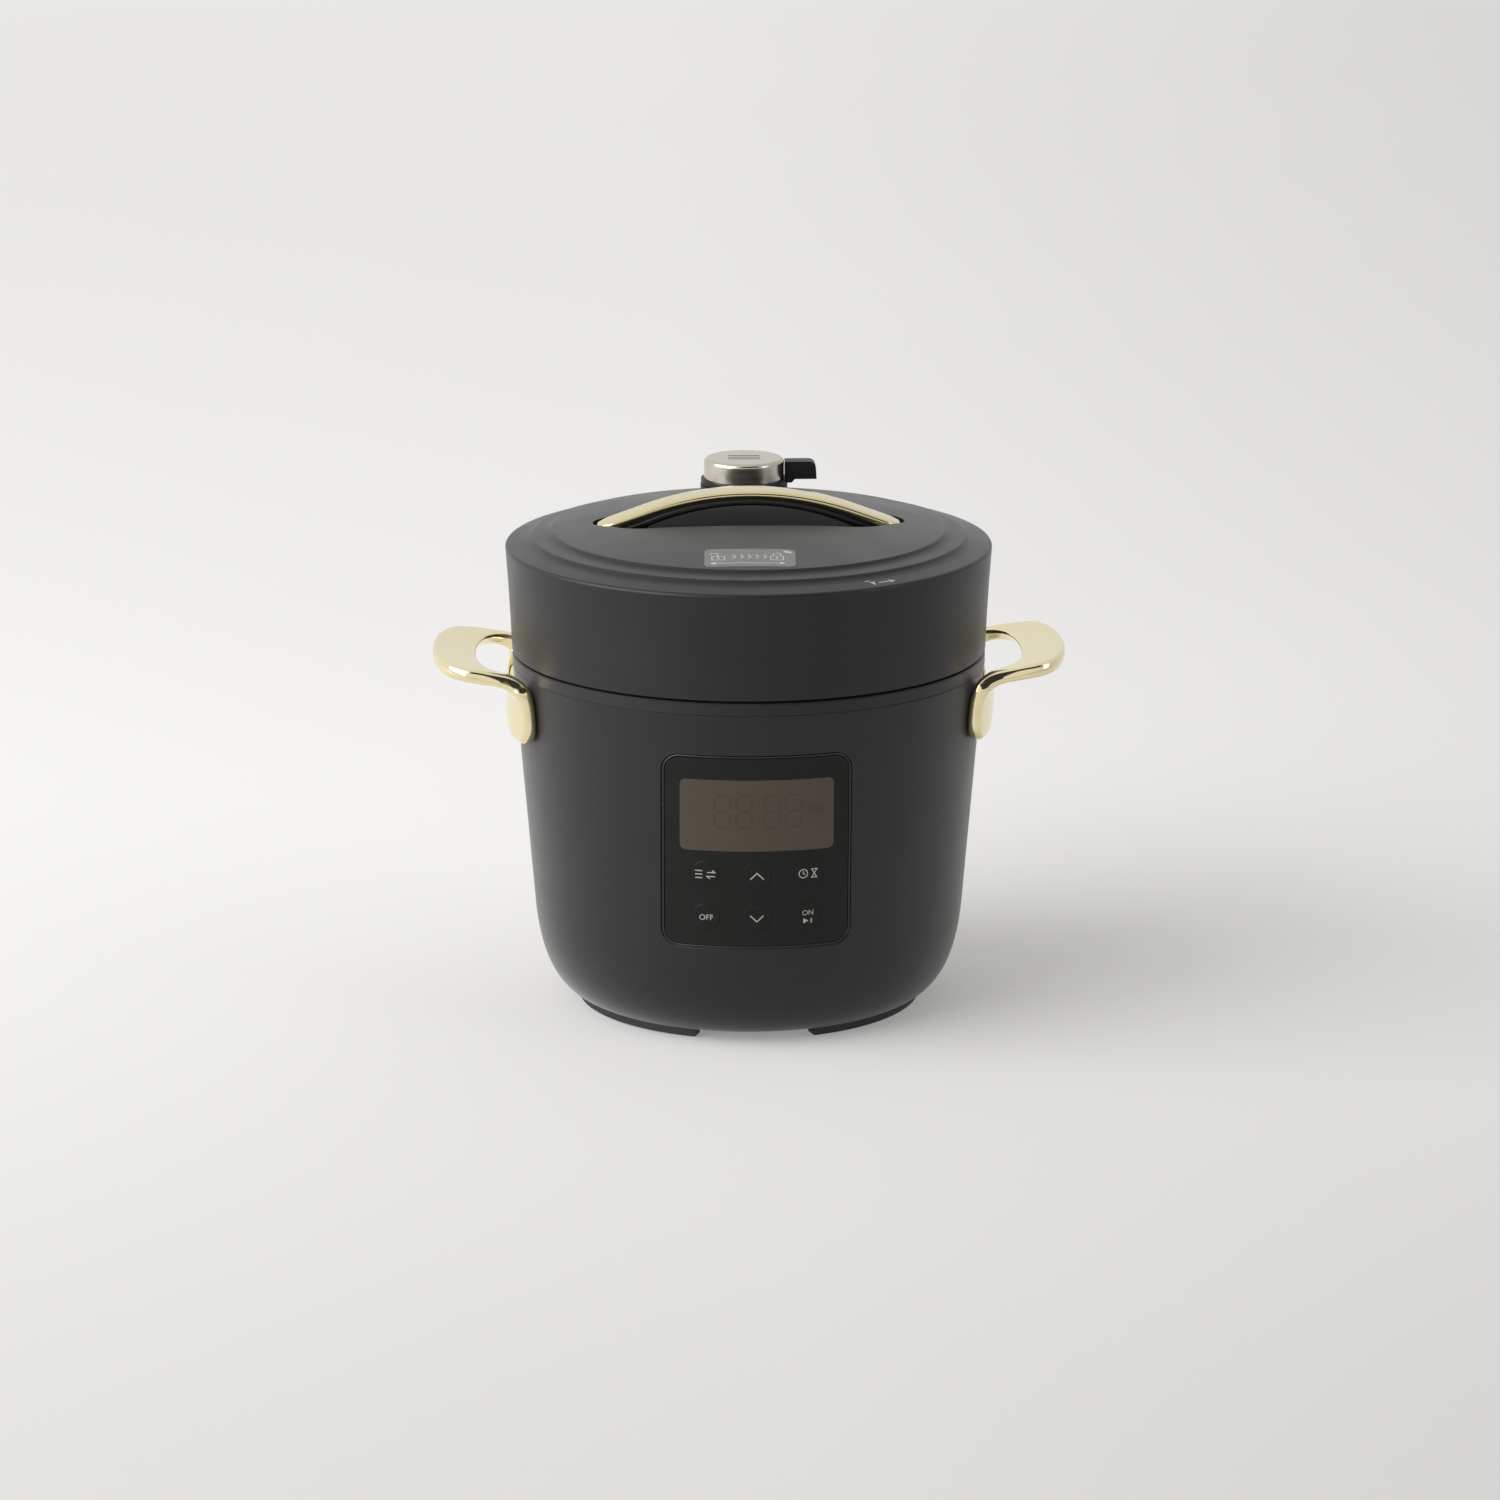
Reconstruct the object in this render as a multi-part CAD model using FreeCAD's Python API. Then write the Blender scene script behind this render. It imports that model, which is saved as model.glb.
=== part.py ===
import FreeCAD, Part
import math
import os

# Electric pressure cooker. Millimetres, +Z up, the front faces -Y, the side handles lie along X.
# The origin is the centre of the foot circle on the standing surface.

V = FreeCAD.Vector

# ---- driving dimensions: outer body ----
BODY_TOP_R = 104.5        # outer radius of the shell at its upper edge
BODY_TOP_Z = 152.7        # upper edge of the shell
BODY_TAPER = 0.0825       # radius lost per millimetre below the upper edge
TAPER_END_Z = 44.0        # below this the wall curves in to the foot
FOOT_R = 77.0             # outer radius of the shell's lower edge
FOOT_Z = 4.0
SHELL_WALL = 2.2
HANDLE_SPAN = 280.2       # over the outer edges of the two side handles

# ---- driving dimensions: pot and its seat ----
POT_R = 80.5
POT_WALL = 1.7
POT_BASE_Z = 43.8
POT_RIM_Z = 156.4
POT_RIM_R = 88.5
JACKET_R = 82.6           # inner radius of the liner that the pot hangs in
JACKET_WALL = 1.0
SEAT_Z = 154.5            # top of the liner's flange, where the pot's rim rests
PLATE_TOP_Z = 43.5
LINER_FLOOR_Z = 36.0

# ---- driving dimensions: lid ----
LID_BOTTOM_Z = 159.7
LID_BOTTOM_R = 104.8
DOME_TOP_Z = 219.0
DOME_RADIUS = 619.0       # radius of the sphere that the lid's top follows
PAN_TOP_Z = 172.4
PAN_SHEET = 1.4
LUG_COUNT = 6
LUG_PITCH = 360.0 / LUG_COUNT
BODY_LUG_SPAN = 26.0      # degrees
LID_LUG_SPAN = 24.0

# ---- driving dimensions: lid handle and its finger recess ----
RECESS_HALF_X = 68.8
RECESS_HALF_Y = 10.0
RECESS_FLOOR_Z = 204.0
SCOOP_MIDDLE_X = 44.0
STRAP_HALF_Y = 8.0
STRAP_CROWN_Z = 230.3
STRAP_TIP_X = 67.6

# ---- driving dimensions: steam vent ----
VENT_Y = 58.0
CAP_R = 18.0
CAP_LOW_Z = 223.3
CAP_TOP_Z = 232.4
CAP_SHEET = 0.9
FLOAT_X = 28.0
FLOAT_Y = 40.0

# ---- driving dimensions: control panel ----
PANEL_HALF_X = 40.65
PANEL_LOW_Z = 47.5
PANEL_TOP_Z = 135.0
PANEL_CORNER_R = 7.5
PANEL_RIM = 1.0           # visible width of the frame around the overlay
PANEL_GAP = 0.2
WINDOW_HALF_X = 33.1
WINDOW_LOW_Z = 92.0
WINDOW_TOP_Z = 124.2
WINDOW_CORNER_R = 2.5
KEY_R = 6.1
KEY_HOLE_R = 6.3
KEY_STEM_R = 2.6
KEY_COLUMNS = (-13.1, 0.0, 13.1)      # degrees either side of the front
KEY_ROWS = (81.2, 61.6)
KEY_NAMES = (("key_menu", "key_up", "key_timer"), ("key_off", "key_down", "key_start"))
BOARD_MID_Z = 92.0
BOARD_FRONT_Y = -90.2     # front face of the control board at its mid height
BOARD_THICK = 1.6
SWITCH_HEIGHT = 2.5

TAPER_DEG = math.degrees(math.atan(BODY_TAPER))


# ---- construction helpers ----
def polar(radius, degrees, z=0.0):
    """Point at an angle counted anticlockwise from +X, seen from above."""
    angle = math.radians(degrees)
    return V(radius * math.cos(angle), radius * math.sin(angle), z)


def body_radius(z):
    """Outer radius of the tapered wall at height z."""
    return BODY_TOP_R - BODY_TAPER * (BODY_TOP_Z - z)


def box(x0, x1, y0, y1, z0, z1):
    return Part.makeBox(x1 - x0, y1 - y0, z1 - z0, V(x0, y0, z0))


def rod(radius, z0, z1, x=0.0, y=0.0):
    return Part.makeCylinder(radius, z1 - z0, V(x, y, z0))


def tube(inner, outer, z0, z1, x=0.0, y=0.0):
    return rod(outer, z0, z1, x, y).cut(rod(inner, z0 - 1, z1 + 1, x, y))


def rod_along(radius, start, direction, length):
    return Part.makeCylinder(radius, length, start, direction)


def sector(inner, outer, z0, z1, mid_degrees, span_degrees):
    """Part of a ring about the Z axis, centred on mid_degrees."""
    piece = Part.makeCylinder(outer, z1 - z0, V(0, 0, z0), V(0, 0, 1), span_degrees)
    piece.rotate(V(0, 0, 0), V(0, 0, 1), mid_degrees - span_degrees / 2)
    return piece.cut(rod(inner, z0 - 1, z1 + 1))


def line(a, b):
    return Part.LineSegment(a, b).toShape()


def arc(a, mid, b):
    return Part.Arc(a, mid, b).toShape()


def bezier(*poles):
    curve = Part.BezierCurve()
    curve.setPoles(list(poles))
    return curve.toShape()


def spline(*points):
    curve = Part.BSplineCurve()
    curve.interpolate(list(points))
    return curve.toShape()


def rz(radius, z):
    return V(radius, 0, z)


def revolve(edges):
    face = Part.Face(Part.Wire(edges))
    return face.revolve(V(0, 0, 0), V(0, 0, 1), 360)


def polygon_edges(points):
    return [line(a, b) for a, b in zip(points, points[1:] + points[:1])]


def revolve_polygon(*points):
    return revolve(polygon_edges([rz(r, z) for r, z in points]))


def rounded_rectangle(half_x, z0, z1, radius):
    """Upright rounded rectangle in the XZ plane, centred on x = 0."""
    x = half_x
    r = radius
    s = radius * (1 - math.sqrt(0.5))
    at = lambda px, pz: V(px, 0, pz)
    edges = [
        line(at(-x + r, z0), at(x - r, z0)),
        arc(at(x - r, z0), at(x - s, z0 + s), at(x, z0 + r)),
        line(at(x, z0 + r), at(x, z1 - r)),
        arc(at(x, z1 - r), at(x - s, z1 - s), at(x - r, z1)),
        line(at(x - r, z1), at(-x + r, z1)),
        arc(at(-x + r, z1), at(-x + s, z1 - s), at(-x, z1 - r)),
        line(at(-x, z1 - r), at(-x, z0 + r)),
        arc(at(-x, z0 + r), at(-x + s, z0 + s), at(-x + r, z0)),
    ]
    return Part.Face(Part.Wire(edges))


def prism_y(half_x, z0, z1, radius, y0, y1):
    """Rounded rectangle pushed from y0 to y1."""
    face = rounded_rectangle(half_x, z0, z1, radius)
    face.translate(V(0, y0, 0))
    return face.extrude(V(0, y1 - y0, 0))


def stadium(half_x, half_y, z0, z1):
    """Upright prism with straight sides along X and half-round ends."""
    middle = half_x - half_y
    body = box(-middle, middle, -half_y, half_y, z0, z1)
    return body.fuse([rod(half_y, z0, z1, -middle), rod(half_y, z0, z1, middle)]).removeSplitter()


def taper_sheet(outside, inside, z0, z1):
    """Ring between two offsets of the tapered wall. Offsets count outwards."""
    return revolve_polygon(
        (body_radius(z0) + inside, z0), (body_radius(z0) + outside, z0),
        (body_radius(z1) + outside, z1), (body_radius(z1) + inside, z1))


def round_edges(shape, radius, chosen):
    """Rounds every edge whose ends all pass the test."""
    edges = [e for e in shape.Edges if all(chosen(v.Point) for v in e.Vertexes)]
    return shape.makeFillet(radius, edges)


def single(shape):
    """The one solid of a boolean result."""
    clean = shape.removeSplitter()
    if len(clean.Solids) != 1:
        raise ValueError("expected one solid, found %d" % len(clean.Solids))
    return clean.Solids[0]


def save(node, *solids):
    shape = solids[0] if len(solids) == 1 else Part.makeCompound(list(solids))
    if not shape.isValid():
        raise ValueError(node + " is not valid")
    shape.exportStep("parts/%s.step" % node)


# ---- body: shell, base and rim ----
HANDLE_TAB_DEG = 17.5
HANDLE_SCREW_Z = (132.0, 142.0)
INLET_Z = 62.0
INLET_HALF_X = 19.6
INLET_HALF_Z = 11.6
INLET_SCREW_DEG = 13.7
POST_CIRCLE_R = 64.0
CORNER_DEGS = (45.0, 135.0, 225.0, 315.0)
OPENING_EDGE_R = 0.45
STANDOFF_PLACES = [(x, y) for x in (-40, 40) for y in (-25, 25)]


def handle_screw_places():
    """Radial directions and heights of the screws behind the handle tabs."""
    tabs = (HANDLE_TAB_DEG, -HANDLE_TAB_DEG, 180 - HANDLE_TAB_DEG, 180 + HANDLE_TAB_DEG)
    return [(degrees, z) for degrees in tabs for z in HANDLE_SCREW_Z]


def radial_rod(radius, degrees, z, r0, r1):
    return rod_along(radius, polar(r0, degrees, z), polar(1, degrees), r1 - r0)


def on_opening_edge(point):
    """True on the outer edge of the panel's opening and of the inlet's."""
    off_wall = abs(math.hypot(point.x, point.y) - body_radius(point.z))
    return off_wall < 0.02 and TAPER_END_Z < point.z < PANEL_TOP_Z + 1


def make_outer_shell():
    wall = SHELL_WALL
    waist = body_radius(TAPER_END_Z)
    shell = revolve([
        bezier(rz(FOOT_R, FOOT_Z), rz(84.5, 6.74), rz(93.2, 16.1), rz(waist, TAPER_END_Z)),
        line(rz(waist, TAPER_END_Z), rz(BODY_TOP_R, BODY_TOP_Z)),
        line(rz(BODY_TOP_R, BODY_TOP_Z), rz(BODY_TOP_R - wall, BODY_TOP_Z)),
        line(rz(BODY_TOP_R - wall, BODY_TOP_Z), rz(waist - wall, TAPER_END_Z)),
        bezier(rz(waist - wall, TAPER_END_Z), rz(91.0, 18.0), rz(83.3, 9.2), rz(76.2, 6.2)),
        line(rz(76.2, 6.2), rz(FOOT_R, FOOT_Z)),
    ])
    cuts = [
        prism_y(PANEL_HALF_X + PANEL_GAP, PANEL_LOW_Z - PANEL_GAP, PANEL_TOP_Z + PANEL_GAP,
                PANEL_CORNER_R + PANEL_GAP, -120, -70),
        prism_y(INLET_HALF_X + 0.3, INLET_Z - INLET_HALF_Z - 0.3, INLET_Z + INLET_HALF_Z + 0.3,
                4.3, 70, 120),
    ]
    shell = round_edges(shell.cut(cuts), OPENING_EDGE_R, on_opening_edge)
    holes = [radial_rod(1.9, degrees, z, 95, 110) for degrees, z in handle_screw_places()]
    holes += [radial_rod(1.5, 90 + side * INLET_SCREW_DEG, INLET_Z, 85, 105) for side in (-1, 1)]
    return single(shell.cut(holes))


def make_bottom_cover():
    """Base plate with two long foot segments, open at the front and at the back."""
    plate = rod(75.8, 4.4, 6.4)
    feet = [sector(69.5, 76.4, 0.5, 4.4, mid, 140) for mid in (0, 180)]
    standoffs = [rod(3.2, 6.4, 14.0, x, y) for x, y in STANDOFF_PLACES]
    cover = plate.fuse(feet + standoffs)
    grooves = [sector(71.2, 74.8, 0, 1.6, mid, 31) for mid in CORNER_DEGS]
    holes = [rod(1.45, 8.5, 15, x, y) for x, y in STANDOFF_PLACES]
    holes += [rod(1.9, 0, 10, *polar(POST_CIRCLE_R, mid)[:2]) for mid in CORNER_DEGS]
    vents = [box(-24, 24, side * y - 1.5, side * y + 1.5, 0, 10)
             for side in (-1, 1) for y in range(31, 50, 6)]
    return single(cover.cut(grooves + holes + vents))


def make_rubber_feet():
    return [sector(71.5, 74.5, 0.0, 1.6, mid, 30) for mid in CORNER_DEGS]


def make_bottom_screws():
    screws = []
    for mid in CORNER_DEGS:
        x, y = polar(POST_CIRCLE_R, mid)[:2]
        screws.append(rod(3.3, 2.8, 4.4, x, y).fuse(rod(1.6, 4.4, 14.0, x, y)))
    return screws


def make_support_posts():
    posts = []
    for mid in CORNER_DEGS:
        x, y = polar(POST_CIRCLE_R, mid)[:2]
        posts.append(rod(3.5, 6.4, 34.8, x, y).cut(rod(1.65, 6, 15, x, y)))
    return posts


def make_body_top_ring():
    """Trim ring on the shell's edge, with the inner shelf that carries the liner."""
    return revolve_polygon(
        (104.7, 153.1), (104.7, 157.8), (104.2, 158.3), (99.6, 158.3), (99.6, 153.0),
        (96.5, 153.0), (96.5, 150.5), (99.4, 150.5), (99.4, 147.0), (101.6, 147.0), (101.6, 153.1))


def make_bayonet_ring():
    """Locking collar: the lid's lugs pass between its lugs and turn in under them."""
    collar = revolve_polygon(
        (94.6, SEAT_Z), (99.2, SEAT_Z), (99.2, 156.0), (96.9, 156.0), (96.9, 164.0), (94.6, 164.0))
    lugs = [sector(90.5, 94.7, 161.6, 164.0, (i + 0.5) * LUG_PITCH, BODY_LUG_SPAN)
            for i in range(LUG_COUNT)]
    return single(collar.fuse(lugs))


def make_pot_jacket():
    outer = JACKET_R + JACKET_WALL
    floor = LINER_FLOOR_Z
    return revolve_polygon(
        (60.0, floor - 1.2), (outer, floor - 1.2), (outer, SEAT_Z - 1.5), (99.2, SEAT_Z - 1.5),
        (99.2, SEAT_Z), (JACKET_R, SEAT_Z), (JACKET_R, floor), (60.0, floor))


# ---- body: heating ----
def make_heating_plate():
    return revolve_polygon(
        (13.0, LINER_FLOOR_Z), (70.0, LINER_FLOOR_Z), (70.0, 42.0), (68.0, PLATE_TOP_Z),
        (13.0, PLATE_TOP_Z))


def make_heating_element():
    """Sheathed element under the plate: an open ring with a cold pin at each end."""
    ring_r = 50.0
    rod_r = 3.4
    z = LINER_FLOOR_Z - rod_r
    ring = Part.makeTorus(ring_r, rod_r, V(0, 0, z), V(0, 0, 1), 0, 360, 300)
    ring.rotate(V(0, 0, 0), V(0, 0, 1), 120)
    pins = [rod(2.0, 22.0, z, *polar(ring_r, degrees)[:2]) for degrees in (122.5, 57.5)]
    return single(ring.fuse(pins))


def make_thermal_fuse():
    barrel = rod_along(2.5, V(22, 0, 33.5), V(1, 0, 0), 14)
    return single(barrel.fuse(box(26, 32, -4, 4, 31.2, 35.9)))


def make_sensor_holder():
    return revolve_polygon(
        (3.0, 20.0), (13.0, 20.0), (13.0, 34.6), (22.0, 34.6), (22.0, 36.0), (11.9, 36.0),
        (11.9, 21.2), (3.0, 21.2))


def make_sensor_cap():
    top = PLATE_TOP_Z + 0.1
    return revolve_polygon(
        (0.0, top), (11.0, top), (11.5, top - 0.5), (11.5, 30.0), (10.6, 30.0), (10.6, top - 1.2),
        (0.0, top - 1.2))


def make_sensor_spring():
    coil_r = 7.5
    wire_r = 0.55
    low = 21.2 + wire_r
    high = PLATE_TOP_Z - 1.1 - wire_r
    turns = 6.0
    path = Part.makeHelix((high - low) / turns, high - low, coil_r)
    path.translate(V(0, 0, low))
    section = Part.Wire(Part.makeCircle(wire_r, V(coil_r, 0, low), V(0, 1, 0)))
    return Part.Wire(path).makePipeShell([section], True, True)


# ---- body: electrics ----
DECK_Z = 15.6             # upper face of the power board


def make_power_board():
    board = box(-46, 46, -31, 31, 14.0, DECK_Z)
    return board.cut([rod(1.6, 13, 17, x, y) for x, y in STANDOFF_PLACES])


def make_power_board_parts():
    """Relay, transformer, smoothing capacitors, fuse and connector on the board."""
    return [
        box(-40, -22, -10, 8, DECK_Z, 28.5),
        box(20, 38, 6, 22, DECK_Z, 27.0),
        rod(5.0, DECK_Z, 28.0, -18, 22),
        rod(4.0, DECK_Z, 26.0, -30, 20),
        box(18, 36, -18, -12, DECK_Z, 21.0),
        box(19, 29, -30, -24.5, DECK_Z, 22.4),
    ]


def make_board_screws():
    return [rod(2.8, DECK_Z, 17.2, x, y).fuse(rod(1.4, 8.6, DECK_Z, x, y))
            for x, y in STANDOFF_PLACES]


def make_wire_harness():
    """Bundle from the power board's connector up to the control board."""
    radius = 1.6
    bend = 14.0
    x = 24.0
    front_y = -83.7
    deck_z = 19.0
    corner = bend * (1 - math.sqrt(0.5))
    path = Part.Wire([
        line(V(x, front_y, 54.0), V(x, front_y, deck_z + bend)),
        arc(V(x, front_y, deck_z + bend), V(x, front_y + corner, deck_z + corner),
            V(x, front_y + bend, deck_z)),
        line(V(x, front_y + bend, deck_z), V(x, -30.0, deck_z)),
    ])
    section = Part.Wire(Part.makeCircle(radius, V(x, front_y, 54.0), V(0, 0, 1)))
    return path.makePipeShell([section], True, True)


# ---- body: power inlet at the back ----
INLET_PIN_X = (-8.0, 8.0)


def inlet_prism(grow, y0, y1, radius=4.0):
    return prism_y(INLET_HALF_X + grow, INLET_Z - INLET_HALF_Z - grow,
                   INLET_Z + INLET_HALF_Z + grow, radius, y0, y1)


def make_inlet_housing():
    back_y = 85.5
    core = inlet_prism(0.0, back_y, 110).common(taper_sheet(0.5, -14.0, 40, 90))
    flange = inlet_prism(7.0, 80, 110, 5.0).common(taper_sheet(1.3, 0.1, 40, 90))
    socket = prism_y(16.0, INLET_Z - 8.5, INLET_Z + 8.5, 3.0, 88.0, 110)
    holes = [rod_along(2.05, V(x, 80, INLET_Z), V(0, 1, 0), 12) for x in INLET_PIN_X]
    holes += [radial_rod(1.6, 90 + side * INLET_SCREW_DEG, INLET_Z, 85, 105) for side in (-1, 1)]
    screw_r = body_radius(INLET_Z)
    holes += [radial_rod(2.7, 90 + side * INLET_SCREW_DEG, INLET_Z, screw_r + 0.35, 105)
              for side in (-1, 1)]
    front_cut = box(-40, 40, -120, 0, 30, 100)
    return single(core.fuse(flange).cut([socket, front_cut] + holes))


def make_inlet_pins():
    pins = []
    for x in INLET_PIN_X:
        pin = rod_along(2.0, V(x, 85.5, INLET_Z), V(0, 1, 0), 8.0)
        tip = Part.makeSphere(2.0, V(x, 93.5, INLET_Z))
        pins.append(single(pin.fuse(tip)))
    return pins


def make_inlet_screws():
    screws = []
    seat = body_radius(INLET_Z) + 0.4
    for side in (-1, 1):
        degrees = 90 + side * INLET_SCREW_DEG
        head = radial_rod(2.5, degrees, INLET_Z, seat, seat + 0.9)
        shank = radial_rod(1.4, degrees, INLET_Z, seat - 7, seat)
        screws.append(single(head.fuse(shank)))
    return screws


# ---- side handles ----
HANDLE_TOP_OUT_Z = 161.6
HANDLE_LOW_OUT_Z = 155.0
HANDLE_THICK = 6.0
HANDLE_GAP = 0.4
TAB_HALF = 14.5
TAB_LOW_Z = 124.2
TAB_CORNER_R = 12.0
TAB_TO_ARM_Z = 146.5


def handle_slice():
    """Ring whose section is the handle's bent side profile: tab, bend and grip."""
    tip = HANDLE_SPAN / 2 + 2
    inner_low = rz(body_radius(120) + HANDLE_GAP, 120)
    inner_bend = rz(body_radius(140) + HANDLE_GAP, 140)
    grip_start = rz(115.5, 156.9)
    under_start = rz(120.0, 151.6)
    outer_bend = rz(body_radius(140) + HANDLE_GAP + HANDLE_THICK, 140)
    outer_low = rz(body_radius(120) + HANDLE_GAP + HANDLE_THICK, 120)
    return revolve([
        line(inner_low, inner_bend),
        bezier(inner_bend, rz(inner_bend.x + 0.7, 148.5), rz(107.0, 155.7), grip_start),
        line(grip_start, rz(tip, HANDLE_TOP_OUT_Z)),
        line(rz(tip, HANDLE_TOP_OUT_Z), rz(tip, HANDLE_LOW_OUT_Z)),
        line(rz(tip, HANDLE_LOW_OUT_Z), under_start),
        bezier(under_start, rz(113.6, 150.5), rz(outer_bend.x + 0.5, 146.6), outer_bend),
        line(outer_bend, outer_low),
        line(outer_low, inner_low),
    ])


def tab_point(along, across, side):
    """Point beside a tab's centre line. side is -1 for the front tab, 1 for the back one."""
    angle = math.radians(HANDLE_TAB_DEG)
    x = along * math.cos(angle) + across * math.sin(angle)
    y = along * math.sin(angle) - across * math.cos(angle)
    return V(x, side * y, 0)


def handle_outline():
    """Plan outline of the loop, closed behind the body's wall."""
    half = HANDLE_SPAN / 2
    front = [V(104.2, -44.2, 0), V(108.5, -42.6, 0), V(116, -42.8, 0), V(125, -42.2, 0),
             V(132.6, -37.0, 0), V(138.0, -22.5, 0)]
    back = [V(p.x, -p.y, 0) for p in reversed(front)]
    start = tab_point(109.0, -TAB_HALF, -1)
    end = tab_point(109.0, -TAB_HALF, 1)
    inner_start = tab_point(95.0, -TAB_HALF, -1)
    inner_end = tab_point(95.0, -TAB_HALF, 1)
    edges = [
        line(inner_start, start),
        spline(start, *front, V(half, 0, 0), *back, end),
        line(end, inner_end),
        line(inner_end, inner_start),
    ]
    return Part.Face(Part.Wire(edges))


def handle_hole():
    """Plan outline of the grip opening, outside the tabs' ring."""
    points = [V(100, -36.6, 0), V(106.5, -36.8, 0), V(112.0, -35.6, 0), V(117, -30.6, 0),
              V(120.2, -20.0, 0), V(121.9, 0, 0)]
    points += [V(p.x, -p.y, 0) for p in reversed(points[:-1])]
    return Part.Face(Part.Wire([spline(*points), line(points[-1], points[0])]))


def make_right_handle():
    height = V(0, 0, 60)
    profile = handle_slice()
    plan = handle_outline()
    plan.translate(V(0, 0, TAB_TO_ARM_Z))
    hole = handle_hole()
    hole.translate(V(0, 0, TAB_TO_ARM_Z - 1))
    hole = hole.extrude(height)
    above_tabs = box(90, 112, -36.6, 36.6, 151.0, 180).common(hole)
    between = Part.Face(Part.Wire(polygon_edges([
        tab_point(90, TAB_HALF, -1), tab_point(112, TAB_HALF, -1),
        tab_point(112, TAB_HALF, 1), tab_point(90, TAB_HALF, 1)])))
    between.translate(V(0, 0, TAB_TO_ARM_Z - 1))
    upper = profile.common(plan.extrude(height))
    upper = upper.cut([hole.cut(rod(109.6, 100, 220)), above_tabs, between.extrude(height)])
    tabs = []
    for side in (-1, 1):
        slot = prism_y(TAB_HALF, TAB_LOW_Z, TAB_TO_ARM_Z + 40, TAB_CORNER_R, 90, 125)
        slot = slot.common(box(-40, 40, 80, 130, 100, TAB_TO_ARM_Z))
        slot.rotate(V(0, 0, 0), V(0, 0, 1), side * HANDLE_TAB_DEG - 90)
        tabs.append(profile.common(slot))
    handle = upper.fuse(tabs)
    blind = [radial_rod(1.75, degrees, z, 95, 107)
             for degrees, z in handle_screw_places() if abs(degrees) < 90]
    return single(handle.cut(blind))


def make_left_handle(right):
    return right.mirror(V(0, 0, 0), V(1, 0, 0))


def make_handle_screws():
    screws = []
    for degrees, z in handle_screw_places():
        seat = body_radius(z) - SHELL_WALL - 0.5
        head = radial_rod(3.2, degrees, z, seat - 2, seat)
        shank = radial_rod(1.7, degrees, z, seat, 106.8)
        screws.append(single(head.fuse(shank)))
    return screws


# ---- control panel ----
def panel_prism(shrink, y0=-115.0, y1=-70.0):
    return prism_y(PANEL_HALF_X - shrink, PANEL_LOW_Z + shrink, PANEL_TOP_Z - shrink,
                   PANEL_CORNER_R - shrink, y0, y1)


def window_prism(grow):
    return prism_y(WINDOW_HALF_X + grow, WINDOW_LOW_Z - grow, WINDOW_TOP_Z + grow,
                   WINDOW_CORNER_R, -115, -70)


def key_axis(column, z):
    """Point on the wall and outward normal for a key."""
    angle = math.radians(column)
    tilt = math.radians(TAPER_DEG)
    point = V(body_radius(z) * math.sin(angle), -body_radius(z) * math.cos(angle), z)
    normal = V(math.sin(angle) * math.cos(tilt), -math.cos(angle) * math.cos(tilt),
               -math.sin(tilt))
    return point, normal


def key_rod(radius, column, z, depth0, depth1):
    """Rod on a key's axis between two depths under the wall's outer face."""
    point, normal = key_axis(column, z)
    return rod_along(radius, point - normal * depth1, normal, depth1 - depth0)


def key_places():
    return [(name, column, z) for names, z in zip(KEY_NAMES, KEY_ROWS)
            for name, column in zip(names, KEY_COLUMNS)]


def board_space(shape):
    """Leans a solid made about the board's mid height so that it follows the taper."""
    shape.rotate(V(0, 0, BOARD_MID_Z), V(1, 0, 0), TAPER_DEG)
    shape.translate(V(0, BOARD_FRONT_Y, 0))
    return shape


def depth_to_board(column, z):
    """Distance along a key's axis from the wall's face to the board's front face."""
    point, normal = key_axis(column, z)
    lean = math.radians(TAPER_DEG)
    face_normal = V(0, -math.cos(lean), -math.sin(lean))
    face_point = V(0, BOARD_FRONT_Y, BOARD_MID_Z)
    return (point - face_point).dot(face_normal) / normal.dot(face_normal)


BOARD_SCREW_PLACES = [(x, z) for x in (-28.0, 28.0) for z in (-34.5, 34.5)]


def make_panel_frame():
    """Tray behind the shell's opening: its rim shows as a thin line round the overlay."""
    low = PANEL_LOW_Z - 4
    high = PANEL_TOP_Z + 4
    rim = panel_prism(0.0).cut(panel_prism(PANEL_RIM)).common(taper_sheet(0.0, -3.2, low, high))
    floor = panel_prism(0.5).common(taper_sheet(-1.3, -3.2, low, high))
    flange = panel_prism(-4.0).cut(panel_prism(2.0)).common(taper_sheet(-2.35, -3.6, low, high))
    bosses = []
    for x, z in BOARD_SCREW_PLACES:
        bosses.append(board_space(rod_along(3.0, V(x, 0, BOARD_MID_Z + z), V(0, -1, 0), 2.8)))
    frame = rim.fuse([floor, flange] + bosses)
    holes = [window_prism(-0.8)]
    holes += [key_rod(KEY_STEM_R + 0.35, column, z, 0, 12) for _, column, z in key_places()]
    for x, z in BOARD_SCREW_PLACES:
        holes.append(board_space(rod_along(1.2, V(x, 1, BOARD_MID_Z + z), V(0, -1, 0), 3.4)))
    return single(frame.cut(holes))


def make_panel_overlay():
    sheet = panel_prism(PANEL_RIM + PANEL_GAP).common(taper_sheet(-0.1, -1.3, 40, 140))
    holes = [window_prism(0.1)]
    holes += [key_rod(KEY_HOLE_R, column, z, -3, 6) for _, column, z in key_places()]
    return single(sheet.cut(holes))


def make_display_window():
    return single(window_prism(0.0).common(taper_sheet(-0.1, -1.3, 40, 140)))


def make_lcd_module():
    return board_space(box(-30.5, 30.5, -2.4, -0.02, 95.0, 121.0))


def make_control_board():
    board = box(-32, 32, 0, BOARD_THICK, 52.5, 130.5)
    board = board.cut([rod_along(1.3, V(x, -1, BOARD_MID_Z + z), V(0, 1, 0), 5)
                       for x, z in BOARD_SCREW_PLACES])
    return board_space(board)


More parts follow.
